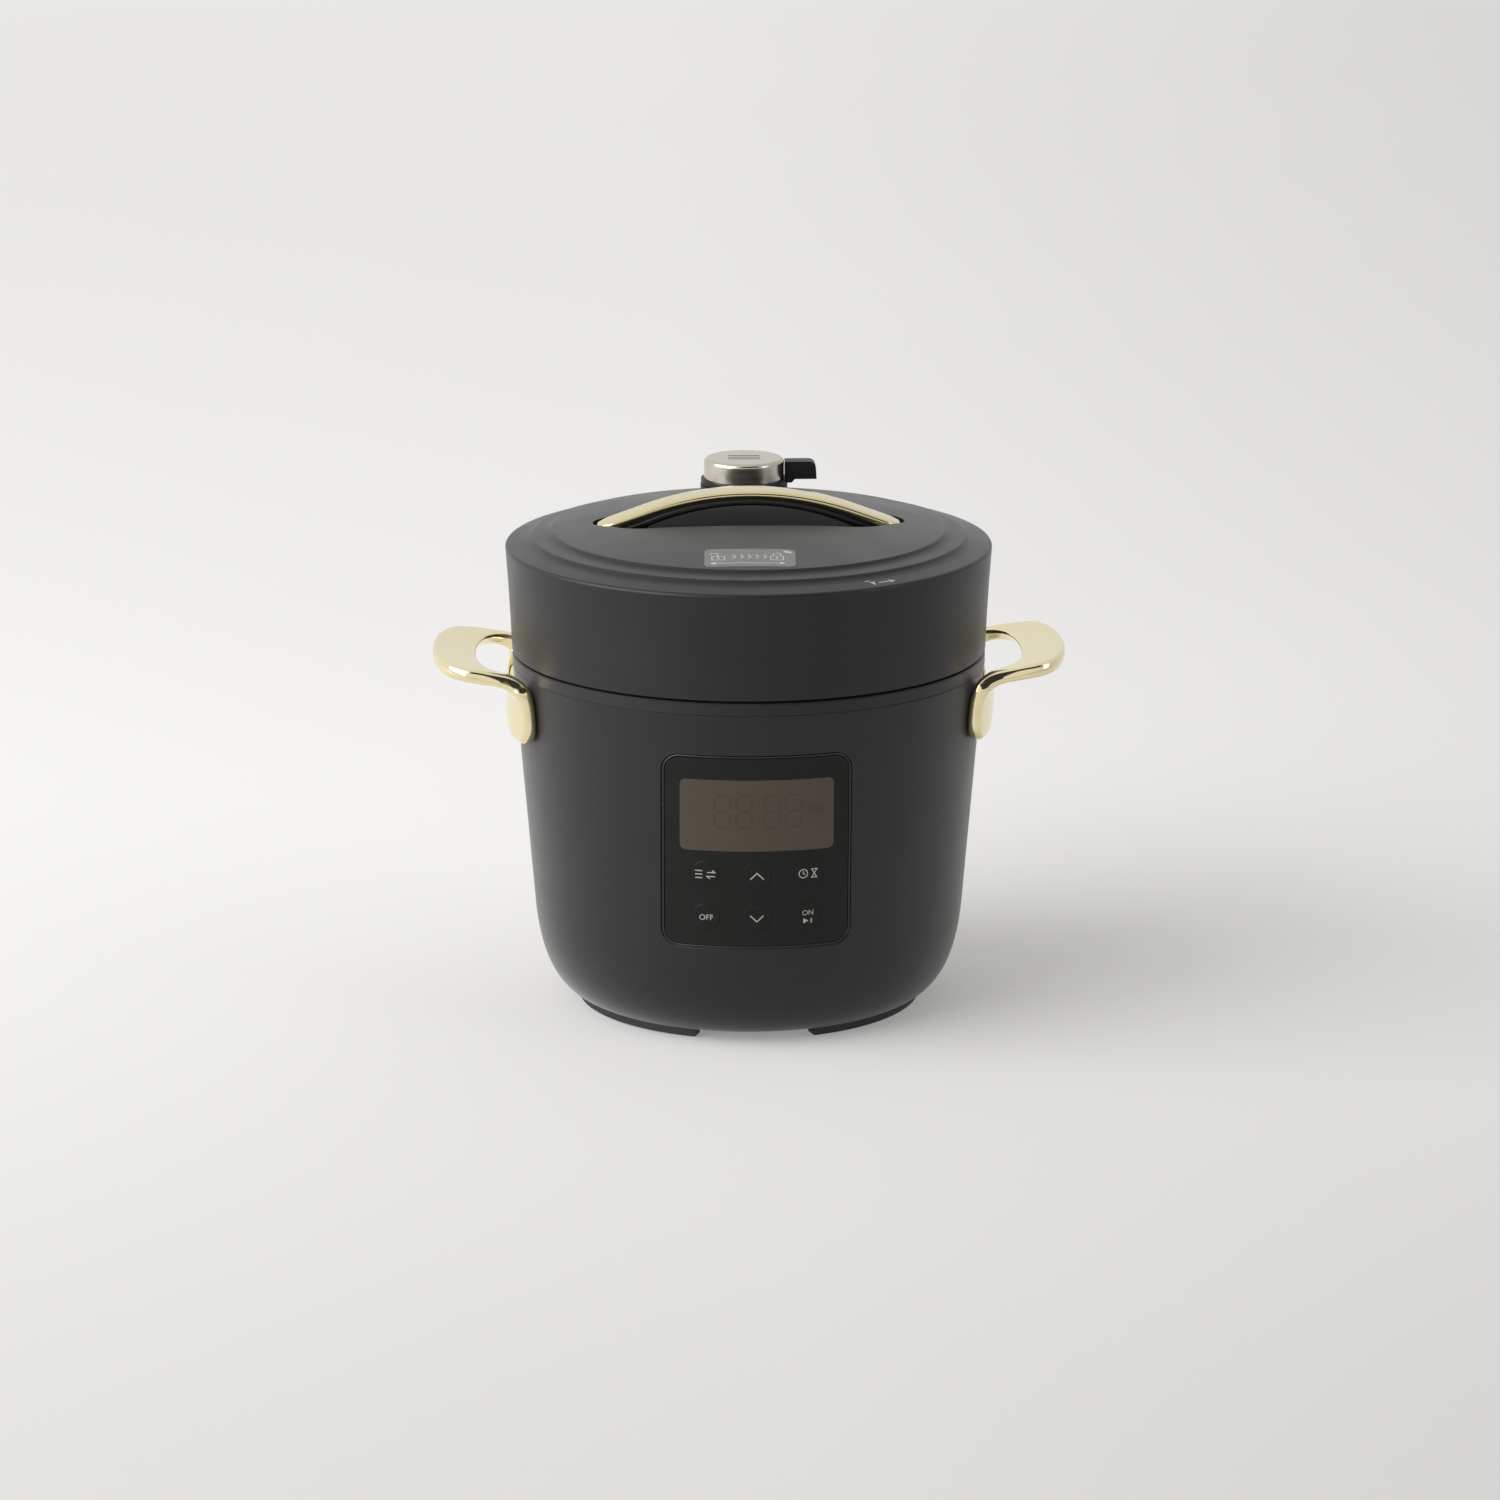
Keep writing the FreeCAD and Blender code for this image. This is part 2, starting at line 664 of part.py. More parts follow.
def make_tact_switches():
    switches = []
    for _, column, z in key_places():
        point, normal = key_axis(column, z)
        centre = point - normal * depth_to_board(column, z)
        body = box(-2.6, 2.6, -1.6, 0, -2.6, 2.6)
        button = rod_along(1.4, V(0, -1.6, 0), V(0, -1, 0), SWITCH_HEIGHT - 1.6)
        switch = single(body.fuse(button))
        switch.rotate(V(0, 0, 0), V(1, 0, 0), TAPER_DEG)
        switch.translate(centre)
        switches.append(switch)
    return switches


def make_control_board_screws():
    screws = []
    for x, z in BOARD_SCREW_PLACES:
        head = rod_along(2.3, V(x, BOARD_THICK, BOARD_MID_Z + z), V(0, 1, 0), 1.3)
        shank = rod_along(1.1, V(x, BOARD_THICK, BOARD_MID_Z + z), V(0, -1, 0), 3.8)
        screws.append(board_space(single(head.fuse(shank))))
    return screws


def make_key(column, z):
    """Thin cap flush with the overlay and a stem that ends just above its switch."""
    cap = key_rod(KEY_R, column, z, -3, 4).common(taper_sheet(-0.1, -0.7, 50, 100))
    stem_end = depth_to_board(column, z) - SWITCH_HEIGHT - 0.7
    return single(cap.fuse(key_rod(KEY_STEM_R, column, z, 0.4, stem_end)))


# ---- pot and sealing ring ----
def make_inner_pot():
    outer = POT_R
    inner = POT_R - POT_WALL
    base = POT_BASE_Z
    rim = POT_RIM_Z
    bend = 12.0
    s = bend * (1 - math.sqrt(0.5))
    wall = POT_WALL
    inner_bend = bend - wall
    t = inner_bend * (1 - math.sqrt(0.5))
    floor = base + 2.2
    return revolve([
        line(rz(0, base), rz(outer - bend, base)),
        arc(rz(outer - bend, base), rz(outer - s, base + s), rz(outer, base + bend)),
        line(rz(outer, base + bend), rz(outer, rim - wall)),
        line(rz(outer, rim - wall), rz(POT_RIM_R, rim - wall)),
        line(rz(POT_RIM_R, rim - wall), rz(POT_RIM_R, rim)),
        line(rz(POT_RIM_R, rim), rz(inner, rim)),
        line(rz(inner, rim), rz(inner, floor + inner_bend)),
        arc(rz(inner, floor + inner_bend), rz(inner - t, floor + t), rz(inner - inner_bend, floor)),
        line(rz(inner - inner_bend, floor), rz(0, floor)),
        line(rz(0, floor), rz(0, base)),
    ])


def make_sealing_ring():
    low = POT_RIM_Z + 0.2
    return revolve_polygon(
        (81.5, low), (86.2, low), (86.2, low + 9.4), (84.2, low + 9.4), (84.2, low + 2.4),
        (81.5, low + 2.4))


# ---- lid ----
SCREW_POST_XY = 50.0
SCREW_POSTS = [(x, y) for x in (-SCREW_POST_XY, SCREW_POST_XY)
               for y in (-SCREW_POST_XY, SCREW_POST_XY)]
BOWL_WALL = 2.2
HANDLE_FOOT_SCREWS_X = (-55.5, -48.5, 48.5, 55.5)
LID_WALL_TOP_R = 107.3
LID_WALL_TOP_Z = 205.2
DOME_EDGE_R = 86.2


def dome_z(radius):
    """Height of the lid's dome at a distance from its centre."""
    return DOME_TOP_Z - DOME_RADIUS + math.sqrt(DOME_RADIUS ** 2 - radius ** 2)


def lid_surface_edges():
    """Outer side of the lid from its lower edge to the crown: wall, two low steps and dome."""
    edge = rz(DOME_EDGE_R, dome_z(DOME_EDGE_R))
    return [
        arc(rz(LID_BOTTOM_R, LID_BOTTOM_Z), rz(105.9, 184.0), rz(LID_WALL_TOP_R, LID_WALL_TOP_Z)),
        bezier(rz(LID_WALL_TOP_R, LID_WALL_TOP_Z), rz(107.3, 205.9), rz(106.9, 206.5),
               rz(106.0, 206.65)),
        line(rz(106.0, 206.65), rz(99.7, 208.0)),
        bezier(rz(99.7, 208.0), rz(98.0, 208.36), rz(96.8, 208.9), rz(96.15, 209.75)),
        bezier(rz(96.15, 209.75), rz(95.85, 210.14), rz(95.6, 210.31), rz(95.0, 210.38)),
        line(rz(95.0, 210.38), rz(90.7, 210.86)),
        bezier(rz(90.7, 210.86), rz(89.0, 211.05), rz(87.9, 211.55), rz(87.3, 212.35)),
        bezier(rz(87.3, 212.35), rz(87.0, 212.75), rz(86.8, 212.89), edge),
        arc(edge, rz(DOME_EDGE_R / 2, dome_z(DOME_EDGE_R / 2)), rz(0, DOME_TOP_Z)),
    ]


def lid_solid():
    """The lid's outer form, filled down to its lower edge."""
    return revolve(lid_surface_edges() + [
        line(rz(0, DOME_TOP_Z), rz(0, LID_BOTTOM_Z)),
        line(rz(0, LID_BOTTOM_Z), rz(LID_BOTTOM_R, LID_BOTTOM_Z)),
    ])


def scoop_edges(grow):
    """Half section of the finger scoop: flat floor, S-shaped side, open top."""
    low = RECESS_FLOOR_Z - grow
    floor_end = rz(6.0 + grow, low)
    middle = rz(15.5 + grow, 211.0 - grow)
    top = rz(25.5 + grow, 218.9 - grow)
    return [
        line(rz(0, 225.0), rz(0, low)),
        line(rz(0, low), floor_end),
        bezier(floor_end, rz(11.5 + grow, low), rz(12.5 + grow, 208.0 - grow), middle),
        bezier(middle, rz(18.5 + grow, 214.0 - grow), rz(20.0 + grow, 218.3 - grow), top),
        line(top, rz(top.x + 2.0, 225.0)),
        line(rz(top.x + 2.0, 225.0), rz(0, 225.0)),
    ]


def recess(grow):
    """Finger recess: a scoop with sloping sides, and a snug slot for the handle's ends."""
    ends = []
    for x in (-SCOOP_MIDDLE_X, SCOOP_MIDDLE_X):
        end = revolve(scoop_edges(grow))
        end.translate(V(x, 0, 0))
        ends.append(end)
    half = Part.Face(Part.Wire(scoop_edges(grow)))
    half.rotate(V(0, 0, 0), V(0, 0, 1), 90)
    half.translate(V(-SCOOP_MIDDLE_X, 0, 0))
    back = half.extrude(V(2 * SCOOP_MIDDLE_X, 0, 0))
    front = back.mirror(V(0, 0, 0), V(0, 1, 0))
    slot = stadium(RECESS_HALF_X + grow, RECESS_HALF_Y + grow, RECESS_FLOOR_Z - grow, 225)
    return back.fuse([front, slot] + ends).removeSplitter()


def make_lid_cover():
    solid = lid_solid()
    inside = revolve_polygon(
        (0, LID_BOTTOM_Z - 1), (102.3, LID_BOTTOM_Z - 1), (102.3, LID_BOTTOM_Z), (103.3, 184.0),
        (104.5, 202.6), (97.5, 205.3), (93.6, 207.6), (87.8, 208.4), (84.0, 210.3), (60.0, 213.4),
        (30.0, 215.7), (0, 216.4))
    shell = solid.cut(inside)
    bowl = recess(BOWL_WALL).common(solid)
    posts = [rod(4.0, PAN_TOP_Z, 212.0, x, y) for x, y in SCREW_POSTS]
    cover = single(shell.fuse([bowl] + posts).cut(recess(0.0)))
    cuts = [rod(12.0, 200, 230, 0, VENT_Y), rod(2.9, 200, 230, FLOAT_X, FLOAT_Y)]
    cuts += [rod(1.75, PAN_TOP_Z - 1, 184.0, x, y) for x, y in SCREW_POSTS]
    cuts += [rod(2.0, 195, 206, x, 0) for x in HANDLE_FOOT_SCREWS_X]
    return single(cover.cut(cuts))


def make_pressure_lid():
    """Pressed steel pan with the outward lugs of the bayonet lock."""
    under = PAN_TOP_Z - PAN_SHEET
    pan = revolve_polygon(
        (0, under), (86.6, under), (86.6, 158.6), (88.4, 158.6), (88.4, PAN_TOP_Z), (0, PAN_TOP_Z))
    lugs = [sector(88.0, 93.4, 158.6, 160.6, i * LUG_PITCH, LID_LUG_SPAN)
            for i in range(LUG_COUNT)]
    holes = [rod(5.2, 160, 180, 0, VENT_Y), rod(3.2, 160, 180, FLOAT_X, FLOAT_Y)]
    holes += [rod(1.9, 160, 180, x, y) for x, y in SCREW_POSTS]
    return single(pan.fuse(lugs).cut(holes))


def make_lid_screws():
    under = PAN_TOP_Z - PAN_SHEET
    screws = []
    for x, y in SCREW_POSTS:
        head = rod(3.4, under - 1.8, under, x, y)
        screws.append(single(head.fuse(rod(1.7, under, 183.5, x, y))))
    return screws


LABEL_HALF_X = 20.2
LABEL_HALF_Y = 11.25
LABEL_MID_Y = -71.25
LABEL_CORNER_R = 3.0
LABEL_FILM = 0.12


def make_lid_label():
    """Thin film on the front of the dome."""
    face = rounded_rectangle(LABEL_HALF_X, -LABEL_HALF_Y, LABEL_HALF_Y, LABEL_CORNER_R)
    face.rotate(V(0, 0, 0), V(1, 0, 0), 90)
    face.translate(V(0, LABEL_MID_Y, 200))
    column = face.extrude(V(0, 0, 30))
    centre = V(0, 0, DOME_TOP_Z - DOME_RADIUS)
    under = DOME_RADIUS + 0.01
    film = Part.makeSphere(under + LABEL_FILM, centre).cut(Part.makeSphere(under, centre))
    return single(film.common(column))


# ---- lid handle ----
ARCH_END_X = 45.4         # the arc turns into a straight slope here
ARCH_END_Z = 222.6
STRAP_TIP_Z = 214.6
STRAP_UNDERSIDE = (3.1, 4.7, 4.6)
CORE_UNDERSIDE = (6.4, 8.2, 5.1)
STRAP_EDGE_R = 1.4
FOOT_X = 52.0
FOOT_HALF_X = 8.0
FOOT_HALF_Y = 7.5


def arch_points(drop_crown=0.0, drop_side=0.0, drop_tip=0.0):
    """Crown, end of the arc and tip of an arch that runs below the strap's top face."""
    return (V(0, 0, STRAP_CROWN_Z - drop_crown), V(ARCH_END_X, 0, ARCH_END_Z - drop_side),
            V(STRAP_TIP_X, 0, STRAP_TIP_Z - drop_tip))


def arch_prism(top, low):
    """Solid between two arches, as wide as the strap."""
    edges = []
    for crown, side, tip in (top, low):
        left_side = V(-side.x, 0, side.z)
        edges.append(arc(left_side, crown, side))
        edges.append(line(side, tip))
        edges.append(line(V(-tip.x, 0, tip.z), left_side))
    top_tip = top[2]
    low_tip = low[2]
    edges.append(line(top_tip, low_tip))
    edges.append(line(V(-top_tip.x, 0, top_tip.z), V(-low_tip.x, 0, low_tip.z)))
    face = Part.Face(Part.Wire(Part.__sortEdges__(edges)))
    face.translate(V(0, -STRAP_HALF_Y, 0))
    return face.extrude(V(0, 2 * STRAP_HALF_Y, 0))


def make_lid_handle_strap():
    bar = arch_prism(arch_points(), arch_points(*STRAP_UNDERSIDE))
    strap = single(bar.common(stadium(STRAP_TIP_X, STRAP_HALF_Y, 190, 240)))
    return strap.makeFillet(STRAP_EDGE_R, strap.Edges)


def make_lid_handle_core():
    """Moulded grip under the strap, with a foot at each end on the recess floor."""
    bar = arch_prism(arch_points(*STRAP_UNDERSIDE), arch_points(*CORE_UNDERSIDE))
    bar = bar.common(stadium(STRAP_TIP_X - 0.6, STRAP_HALF_Y, 190, 240))
    under_strap = arch_prism(arch_points(*STRAP_UNDERSIDE), arch_points(40, 40, 40))
    feet = []
    for x in (-FOOT_X, FOOT_X):
        foot = stadium(FOOT_HALF_X, FOOT_HALF_Y, RECESS_FLOOR_Z, 216)
        foot.translate(V(x, 0, 0))
        feet.append(foot.common(under_strap))
    core = bar.fuse(feet)
    return single(core.cut([rod(1.85, 195, 212, x, 0) for x in HANDLE_FOOT_SCREWS_X]))


def make_lid_handle_screws():
    seat = RECESS_FLOOR_Z - BOWL_WALL
    return [single(rod(3.2, seat - 2.0, seat, x, 0).fuse(rod(1.8, seat, 211.0, x, 0)))
            for x in HANDLE_FOOT_SCREWS_X]


# ---- steam vent and float ----
def at_vent(shape):
    shape.translate(V(0, VENT_Y, 0))
    return shape


def make_steam_pipe():
    pipe = tube(2.2, 5.0, 164.0, 222.0).fuse(rod(9.0, PAN_TOP_Z, 174.6)).cut(rod(2.2, 160, 230))
    return at_vent(single(pipe))


def make_steam_pipe_nut():
    points = [polar(8.0, 60 * i, 166.8) for i in range(6)]
    blank = Part.Face(Part.Wire(polygon_edges(points))).extrude(V(0, 0, 4.2))
    return at_vent(single(blank.cut(rod(5.05, 160, 180))))


def make_clog_guard():
    """Perforated cup that keeps food out of the steam pipe."""
    cup = tube(10.2, 11.4, 160.5, 171.0).fuse(rod(11.4, 160.5, 161.7))
    slots = []
    for i in range(8):
        slot = box(8, 13, -1.0, 1.0, 162.6, 169.0)
        slot.rotate(V(0, 0, 0), V(0, 0, 1), 45 * i)
        slots.append(slot)
    return at_vent(single(cup.cut(slots)))


def make_vent_collar():
    collar = tube(12.1, 19.6, 212.0, 220.6, 0, VENT_Y)
    return single(collar.cut(lid_solid()))


def make_vent_lever():
    """Turning ring with its lever, and the hub inside the cap that guides the weight."""
    ring = tube(8.0, 19.4, 221.0, 223.1).fuse(tube(8.0, 16.8, 223.0, 230.8))
    side = Part.Face(Part.Wire([
        line(rz(18.4, 221.4), rz(21.4, 221.4)),
        line(rz(21.4, 221.4), rz(22.8, 223.0)),
        line(rz(22.8, 223.0), rz(32.6, 223.0)),
        line(rz(32.6, 223.0), rz(32.3, 228.2)),
        arc(rz(32.3, 228.2), rz(31.4, 230.2), rz(29.6, 231.0)),
        line(rz(29.6, 231.0), rz(18.4, 231.0)),
        line(rz(18.4, 231.0), rz(18.4, 221.4)),
    ]))
    side.translate(V(0, -4.0, 0))
    bar = side.extrude(V(0, 8.0, 0))
    return at_vent(single(ring.fuse(bar)))


def make_vent_cap():
    low = CAP_LOW_Z
    top = CAP_TOP_Z
    edge = 1.8
    s = edge * (1 - math.sqrt(0.5))
    inner = CAP_R - CAP_SHEET
    under = top - CAP_SHEET
    cap = revolve([
        line(rz(inner, low), rz(CAP_R, low)),
        line(rz(CAP_R, low), rz(CAP_R, top - edge)),
        arc(rz(CAP_R, top - edge), rz(CAP_R - s, top - s), rz(CAP_R - edge, top)),
        line(rz(CAP_R - edge, top), rz(0, top)),
        line(rz(0, top), rz(0, under)),
        line(rz(0, under), rz(inner, under)),
        line(rz(inner, under), rz(inner, low)),
    ])
    slots = [box(-7.2, 7.2, y - 0.6, y + 0.6, 230, 234) for y in (-3.8, 0.0, 3.8)]
    return at_vent(single(cap.cut(slots)))


def make_regulator_weight():
    return at_vent(revolve_polygon((0, 222.3), (6.5, 222.3), (6.5, 227.5), (4.5, 229.2), (0, 229.2)))


def make_float_bush():
    return tube(2.46, 5.2, PAN_TOP_Z, 178.4, FLOAT_X, FLOAT_Y)


def make_float_pin():
    pin = rod(2.4, 164.8, 216.6, FLOAT_X, FLOAT_Y).fuse(rod(4.6, 163.8, 164.8, FLOAT_X, FLOAT_Y))
    return single(pin)


def make_float_seal():
    return tube(2.45, 4.4, 164.8, 166.7, FLOAT_X, FLOAT_Y)


def build():
    os.makedirs("parts", exist_ok=True)
    save("outer_shell", make_outer_shell())
    save("bottom_cover", make_bottom_cover())
    save("rubber_feet", *make_rubber_feet())
    save("bottom_screws", *make_bottom_screws())
    save("support_posts", *make_support_posts())
    save("body_top_ring", make_body_top_ring())
    save("bayonet_ring", make_bayonet_ring())
    save("pot_jacket", make_pot_jacket())
    save("heating_plate", make_heating_plate())
    save("heating_element", make_heating_element())
    save("thermal_fuse", make_thermal_fuse())
    save("sensor_holder", make_sensor_holder())
    save("sensor_cap", make_sensor_cap())
    save("sensor_spring", make_sensor_spring())
    save("power_board", make_power_board())
    save("power_board_parts", *make_power_board_parts())
    save("board_screws", *make_board_screws())
    save("wire_harness", make_wire_harness())
    save("inlet_housing", make_inlet_housing())
    save("inlet_pins", *make_inlet_pins())
    save("inlet_screws", *make_inlet_screws())
    right_handle = make_right_handle()
    save("right_handle", right_handle)
    save("left_handle", make_left_handle(right_handle))
    save("handle_screws", *make_handle_screws())
    save("panel_frame", make_panel_frame())
    save("panel_overlay", make_panel_overlay())
    save("display_window", make_display_window())
    save("lcd_module", make_lcd_module())
    save("control_board", make_control_board())
    save("tact_switches", *make_tact_switches())
    save("control_board_screws", *make_control_board_screws())
    for name, column, z in key_places():
        save(name, make_key(column, z))
    save("inner_pot", make_inner_pot())
    save("sealing_ring", make_sealing_ring())
    save("lid_cover", make_lid_cover())
    save("pressure_lid", make_pressure_lid())
    save("lid_screws", *make_lid_screws())
    save("lid_label", make_lid_label())
    save("lid_handle_strap", make_lid_handle_strap())
    save("lid_handle_core", make_lid_handle_core())
    save("lid_handle_screws", *make_lid_handle_screws())
    save("steam_pipe", make_steam_pipe())
    save("steam_pipe_nut", make_steam_pipe_nut())
    save("clog_guard", make_clog_guard())
    save("vent_collar", make_vent_collar())
    save("vent_lever", make_vent_lever())
    save("vent_cap", make_vent_cap())
    save("regulator_weight", make_regulator_weight())
    save("float_bush", make_float_bush())
    save("float_pin", make_float_pin())
    save("float_seal", make_float_seal())


build()
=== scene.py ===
"""Electric pressure cooker: its finishes, its detailed visible pieces and the studio.

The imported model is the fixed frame. Sizes in the classes are millimetres, and MM turns
them into Blender's metres where a vertex is placed. The front of the cooker faces -Y.
"""
import logging
import math
from dataclasses import dataclass, field
from enum import Enum
from typing import Callable, Sequence

import bmesh
import bpy
from mathutils import Matrix, Vector


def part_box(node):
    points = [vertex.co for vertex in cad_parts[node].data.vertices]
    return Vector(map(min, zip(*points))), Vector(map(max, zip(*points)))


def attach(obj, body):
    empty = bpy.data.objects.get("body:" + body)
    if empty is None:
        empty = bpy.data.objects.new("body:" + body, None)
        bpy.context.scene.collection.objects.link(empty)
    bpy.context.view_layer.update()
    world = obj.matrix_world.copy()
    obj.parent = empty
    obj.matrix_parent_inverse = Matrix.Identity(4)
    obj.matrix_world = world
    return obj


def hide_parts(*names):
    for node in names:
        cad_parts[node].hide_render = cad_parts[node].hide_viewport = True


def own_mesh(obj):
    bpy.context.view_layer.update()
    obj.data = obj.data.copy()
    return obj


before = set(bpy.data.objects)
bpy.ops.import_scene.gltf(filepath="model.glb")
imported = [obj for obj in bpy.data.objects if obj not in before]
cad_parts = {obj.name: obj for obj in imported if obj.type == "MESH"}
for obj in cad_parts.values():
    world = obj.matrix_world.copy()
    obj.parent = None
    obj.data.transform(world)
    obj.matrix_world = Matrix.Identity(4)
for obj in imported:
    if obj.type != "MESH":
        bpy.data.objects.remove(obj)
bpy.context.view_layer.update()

LOG = logging.getLogger("cooker")
MM = 0.001
FULL_TURN = 2 * math.pi

Point2 = tuple[float, float]
Span = tuple[float, float, float, float]
Place = Callable[[float, float], Vector]
Place3 = Callable[[float, float, float], Vector]


# ---------------------------------------------------------------- surfaces of the CAD model
# The body's wall tapers downwards from its top edge. The lid is a shallow dome, sunk round
# the handle's feet, and its vent stands behind the middle.
BODY_TOP_R = 104.5
BODY_TOP_Z = 152.7
BODY_TAPER = 0.0825
DOME_TOP_Z = 219.0
DOME_RADIUS = 619.0
VENT_Y = 58.0
RECESS_FLOOR_Z = 204.0

# A coat of printing ink, drawn thicker than the real one so that it has a body of its own.
INK_DEPTH = 0.03
# A capital of Blender's own font is this share of its size.
CAPITAL_SHARE = 0.7
# Edges of a piece that turn by more than this stay crisp.
PIECE_SHARP_DEGREES = 60.0

# Sockets of a Mix node that is set to colour: it has others of the same names for numbers.
MIX_A, MIX_B, MIX_OUT = 6, 7, 2
# A Noise texture stays between these for nearly all of a surface.
NOISE_LOW, NOISE_HIGH = 0.3, 0.7


def wall_radius(z: float) -> float:
    """Outer radius of the body's tapered wall at height z, in millimetres."""
    return BODY_TOP_R - BODY_TAPER * (BODY_TOP_Z - z)


def on_wall(x: float, z: float, proud: float = 0.0) -> Vector:
    """Point on the front of the body, seen straight on at x and z.

    Args:
        x: millimetres to the right of the middle.
        z: height in millimetres.
        proud: millimetres outside the wall.

    Returns:
        The point in metres.
    """
    radius = wall_radius(z) + proud
    return Vector((x, -math.sqrt(radius * radius - x * x), z)) * MM


def on_dome(x: float, y: float, proud: float = 0.0) -> Vector:
    """Point on the lid's dome above the plan position x, y, in metres."""
    drop = math.sqrt(DOME_RADIUS ** 2 - x * x - y * y)
    return Vector((x, y, DOME_TOP_Z - DOME_RADIUS + drop + proud)) * MM


# ---------------------------------------------------------------- node and mesh helpers
def linear(code: str) -> tuple[float, float, float, float]:
    """Turns an sRGB hex code into the linear colour that a shader socket takes.

    Args:
        code: the colour as #RRGGBB.

    Returns:
        Its linear red, green and blue, and an alpha of 1.
    """
    parts = [int(code[i:i + 2], 16) / 255 for i in (1, 3, 5)]
    curve = [p / 12.92 if p <= 0.04045 else ((p + 0.055) / 1.055) ** 2.4 for p in parts]
    return (curve[0], curve[1], curve[2], 1.0)


def add_node(tree: bpy.types.NodeTree, kind: str, inputs: dict | None = None,
             **settings: object) -> bpy.types.Node:
    """Adds one node with its settings, values and incoming links.

    Args:
        tree: the tree to add to.
        kind: the node's type name.
        inputs: input name or index to a value, or to a socket that is linked there.
        settings: attributes of the node.

    Returns:
        The new node.
    """
    node = tree.nodes.new(kind)
    for name, value in settings.items():
        setattr(node, name, value)
    for key, value in (inputs or {}).items():
        if isinstance(value, bpy.types.NodeSocket):
            tree.links.new(value, node.inputs[key])
        else:
            node.inputs[key].default_value = value
    return node


def spanned(value: bpy.types.NodeSocket, span: Span) -> dict[str, object]:
    """Inputs of a Map Range node.

    Args:
        value: what is mapped.
        span: the range it comes from, then the range it goes to.

    Returns:
        The inputs, for add_node().
    """
    return dict(zip(("Value", "From Min", "From Max", "To Min", "To Max"), (value, *span)))


def finished(name: str, bm: bmesh.types.BMesh, material: bpy.types.Material,
             sharp_degrees: float = 40.0) -> bpy.types.Object:
    """Makes an object of a bmesh, smooth but for its sharp edges.

    Args:
        name: name of the piece.
        bm: the mesh, which is freed.
        material: its only material.
        sharp_degrees: edges that turn by more than this stay crisp.

    Returns:
        The linked object, at the origin.
    """
    for face in bm.faces:
        face.smooth = True
    limit = math.radians(sharp_degrees)
    for edge in bm.edges:
        if len(edge.link_faces) == 2 and edge.calc_face_angle(0.0) > limit:
            edge.smooth = False
    mesh = bpy.data.meshes.new(name)
    bm.to_mesh(mesh)
    bm.free()
    mesh.materials.append(material)
    piece = bpy.data.objects.new(name, mesh)
    bpy.context.scene.collection.objects.link(piece)
    return piece


def closed_up(bm: bmesh.types.BMesh, distance: float = 0.002) -> bmesh.types.BMesh:
    """Merges doubles closer than distance millimetres and turns the faces outwards.

    Args:
        bm: the mesh.
        distance: how close doubles are, in millimetres.

    Returns:
        The same mesh.
    """
    bmesh.ops.remove_doubles(bm, verts=bm.verts[:], dist=distance * MM)
    bmesh.ops.dissolve_degenerate(bm, edges=bm.edges[:], dist=1e-7)
    bmesh.ops.recalc_face_normals(bm, faces=bm.faces[:])
    return bm


def bent_grid(columns: int, rows: int, place: Place) -> bmesh.types.BMesh:
    """Bends a flat grid into shape.

    Args:
        columns: cells along the first direction.
        rows: cells along the second.
        place: gives the point in metres for two numbers from 0 to 1.

    Returns:
        The bent grid, its seams not merged yet.
    """
    bm = bmesh.new()
    bmesh.ops.create_grid(bm, x_segments=columns, y_segments=rows, size=0.5)
    for vert in bm.verts:
        vert.co = place(vert.co.x + 0.5, vert.co.y + 0.5)
    return bm


def spun(profile: Sequence[Point2], steps: int = 128, centre: Point2 = (0.0, 0.0),
         rounding: dict[int, float] | None = None, segments: int = 4) -> bmesh.types.BMesh:
    """Turns a chain of (radius, height) points about an upright axis.

    Args:
        profile: the chain in millimetres. Ends on the axis close themselves.
        steps: segments of the full turn.
        centre: x and y of the axis in millimetres.
        rounding: index of a corner to its fillet radius in millimetres.
        segments: segments of each fillet.

    Returns:
        The turned mesh with its doubles merged.
    """
    bm = bmesh.new()
    verts = [bm.verts.new((r * MM, 0.0, z * MM)) for r, z in profile]
    for a, b in zip(verts, verts[1:]):
        bm.edges.new((a, b))
    for index, radius in (rounding or {}).items():
        a, b, c = (Vector(profile[i % len(profile)]) for i in (index - 1, index, index + 1))
        turn = (b - a).angle(c - b)
        reach = radius * math.tan(turn / 2)
        bmesh.ops.bevel(bm, geom=[verts[index]], offset=reach * MM, offset_type="OFFSET",
                        segments=segments, profile=0.5, affect="VERTICES", material=-1)
    bmesh.ops.spin(bm, geom=bm.verts[:] + bm.edges[:], cent=(0, 0, 0), axis=(0, 0, 1),
                   angle=FULL_TURN, steps=steps, use_merge=True, use_duplicate=False)
    bmesh.ops.translate(bm, verts=bm.verts[:], vec=Vector((centre[0], centre[1], 0)) * MM)
    return closed_up(bm, 0.005)


def soft_box(low: Sequence[float], high: Sequence[float], radius: float,
             segments: int = 3) -> bmesh.types.BMesh:
    """A box between two corners in millimetres with all its edges rounded.

    Args:
        low: one corner.
        high: the opposite corner.
        radius: radius of the edges in millimetres.
        segments: segments of each rounded edge.

    Returns:
        The box.
    """
    bm = bmesh.new()
    size = [b - a for a, b in zip(low, high)]
    middle = [(a + b) / 2 for a, b in zip(low, high)]
    bmesh.ops.create_cube(bm, size=1.0)
    bmesh.ops.scale(bm, verts=bm.verts[:], vec=Vector(size) * MM)
    bmesh.ops.translate(bm, verts=bm.verts[:], vec=Vector(middle) * MM)
    bmesh.ops.bevel(bm, geom=bm.edges[:], offset=radius * MM, offset_type="OFFSET",
                    segments=segments, profile=0.5, affect="EDGES", material=-1)
    return bm


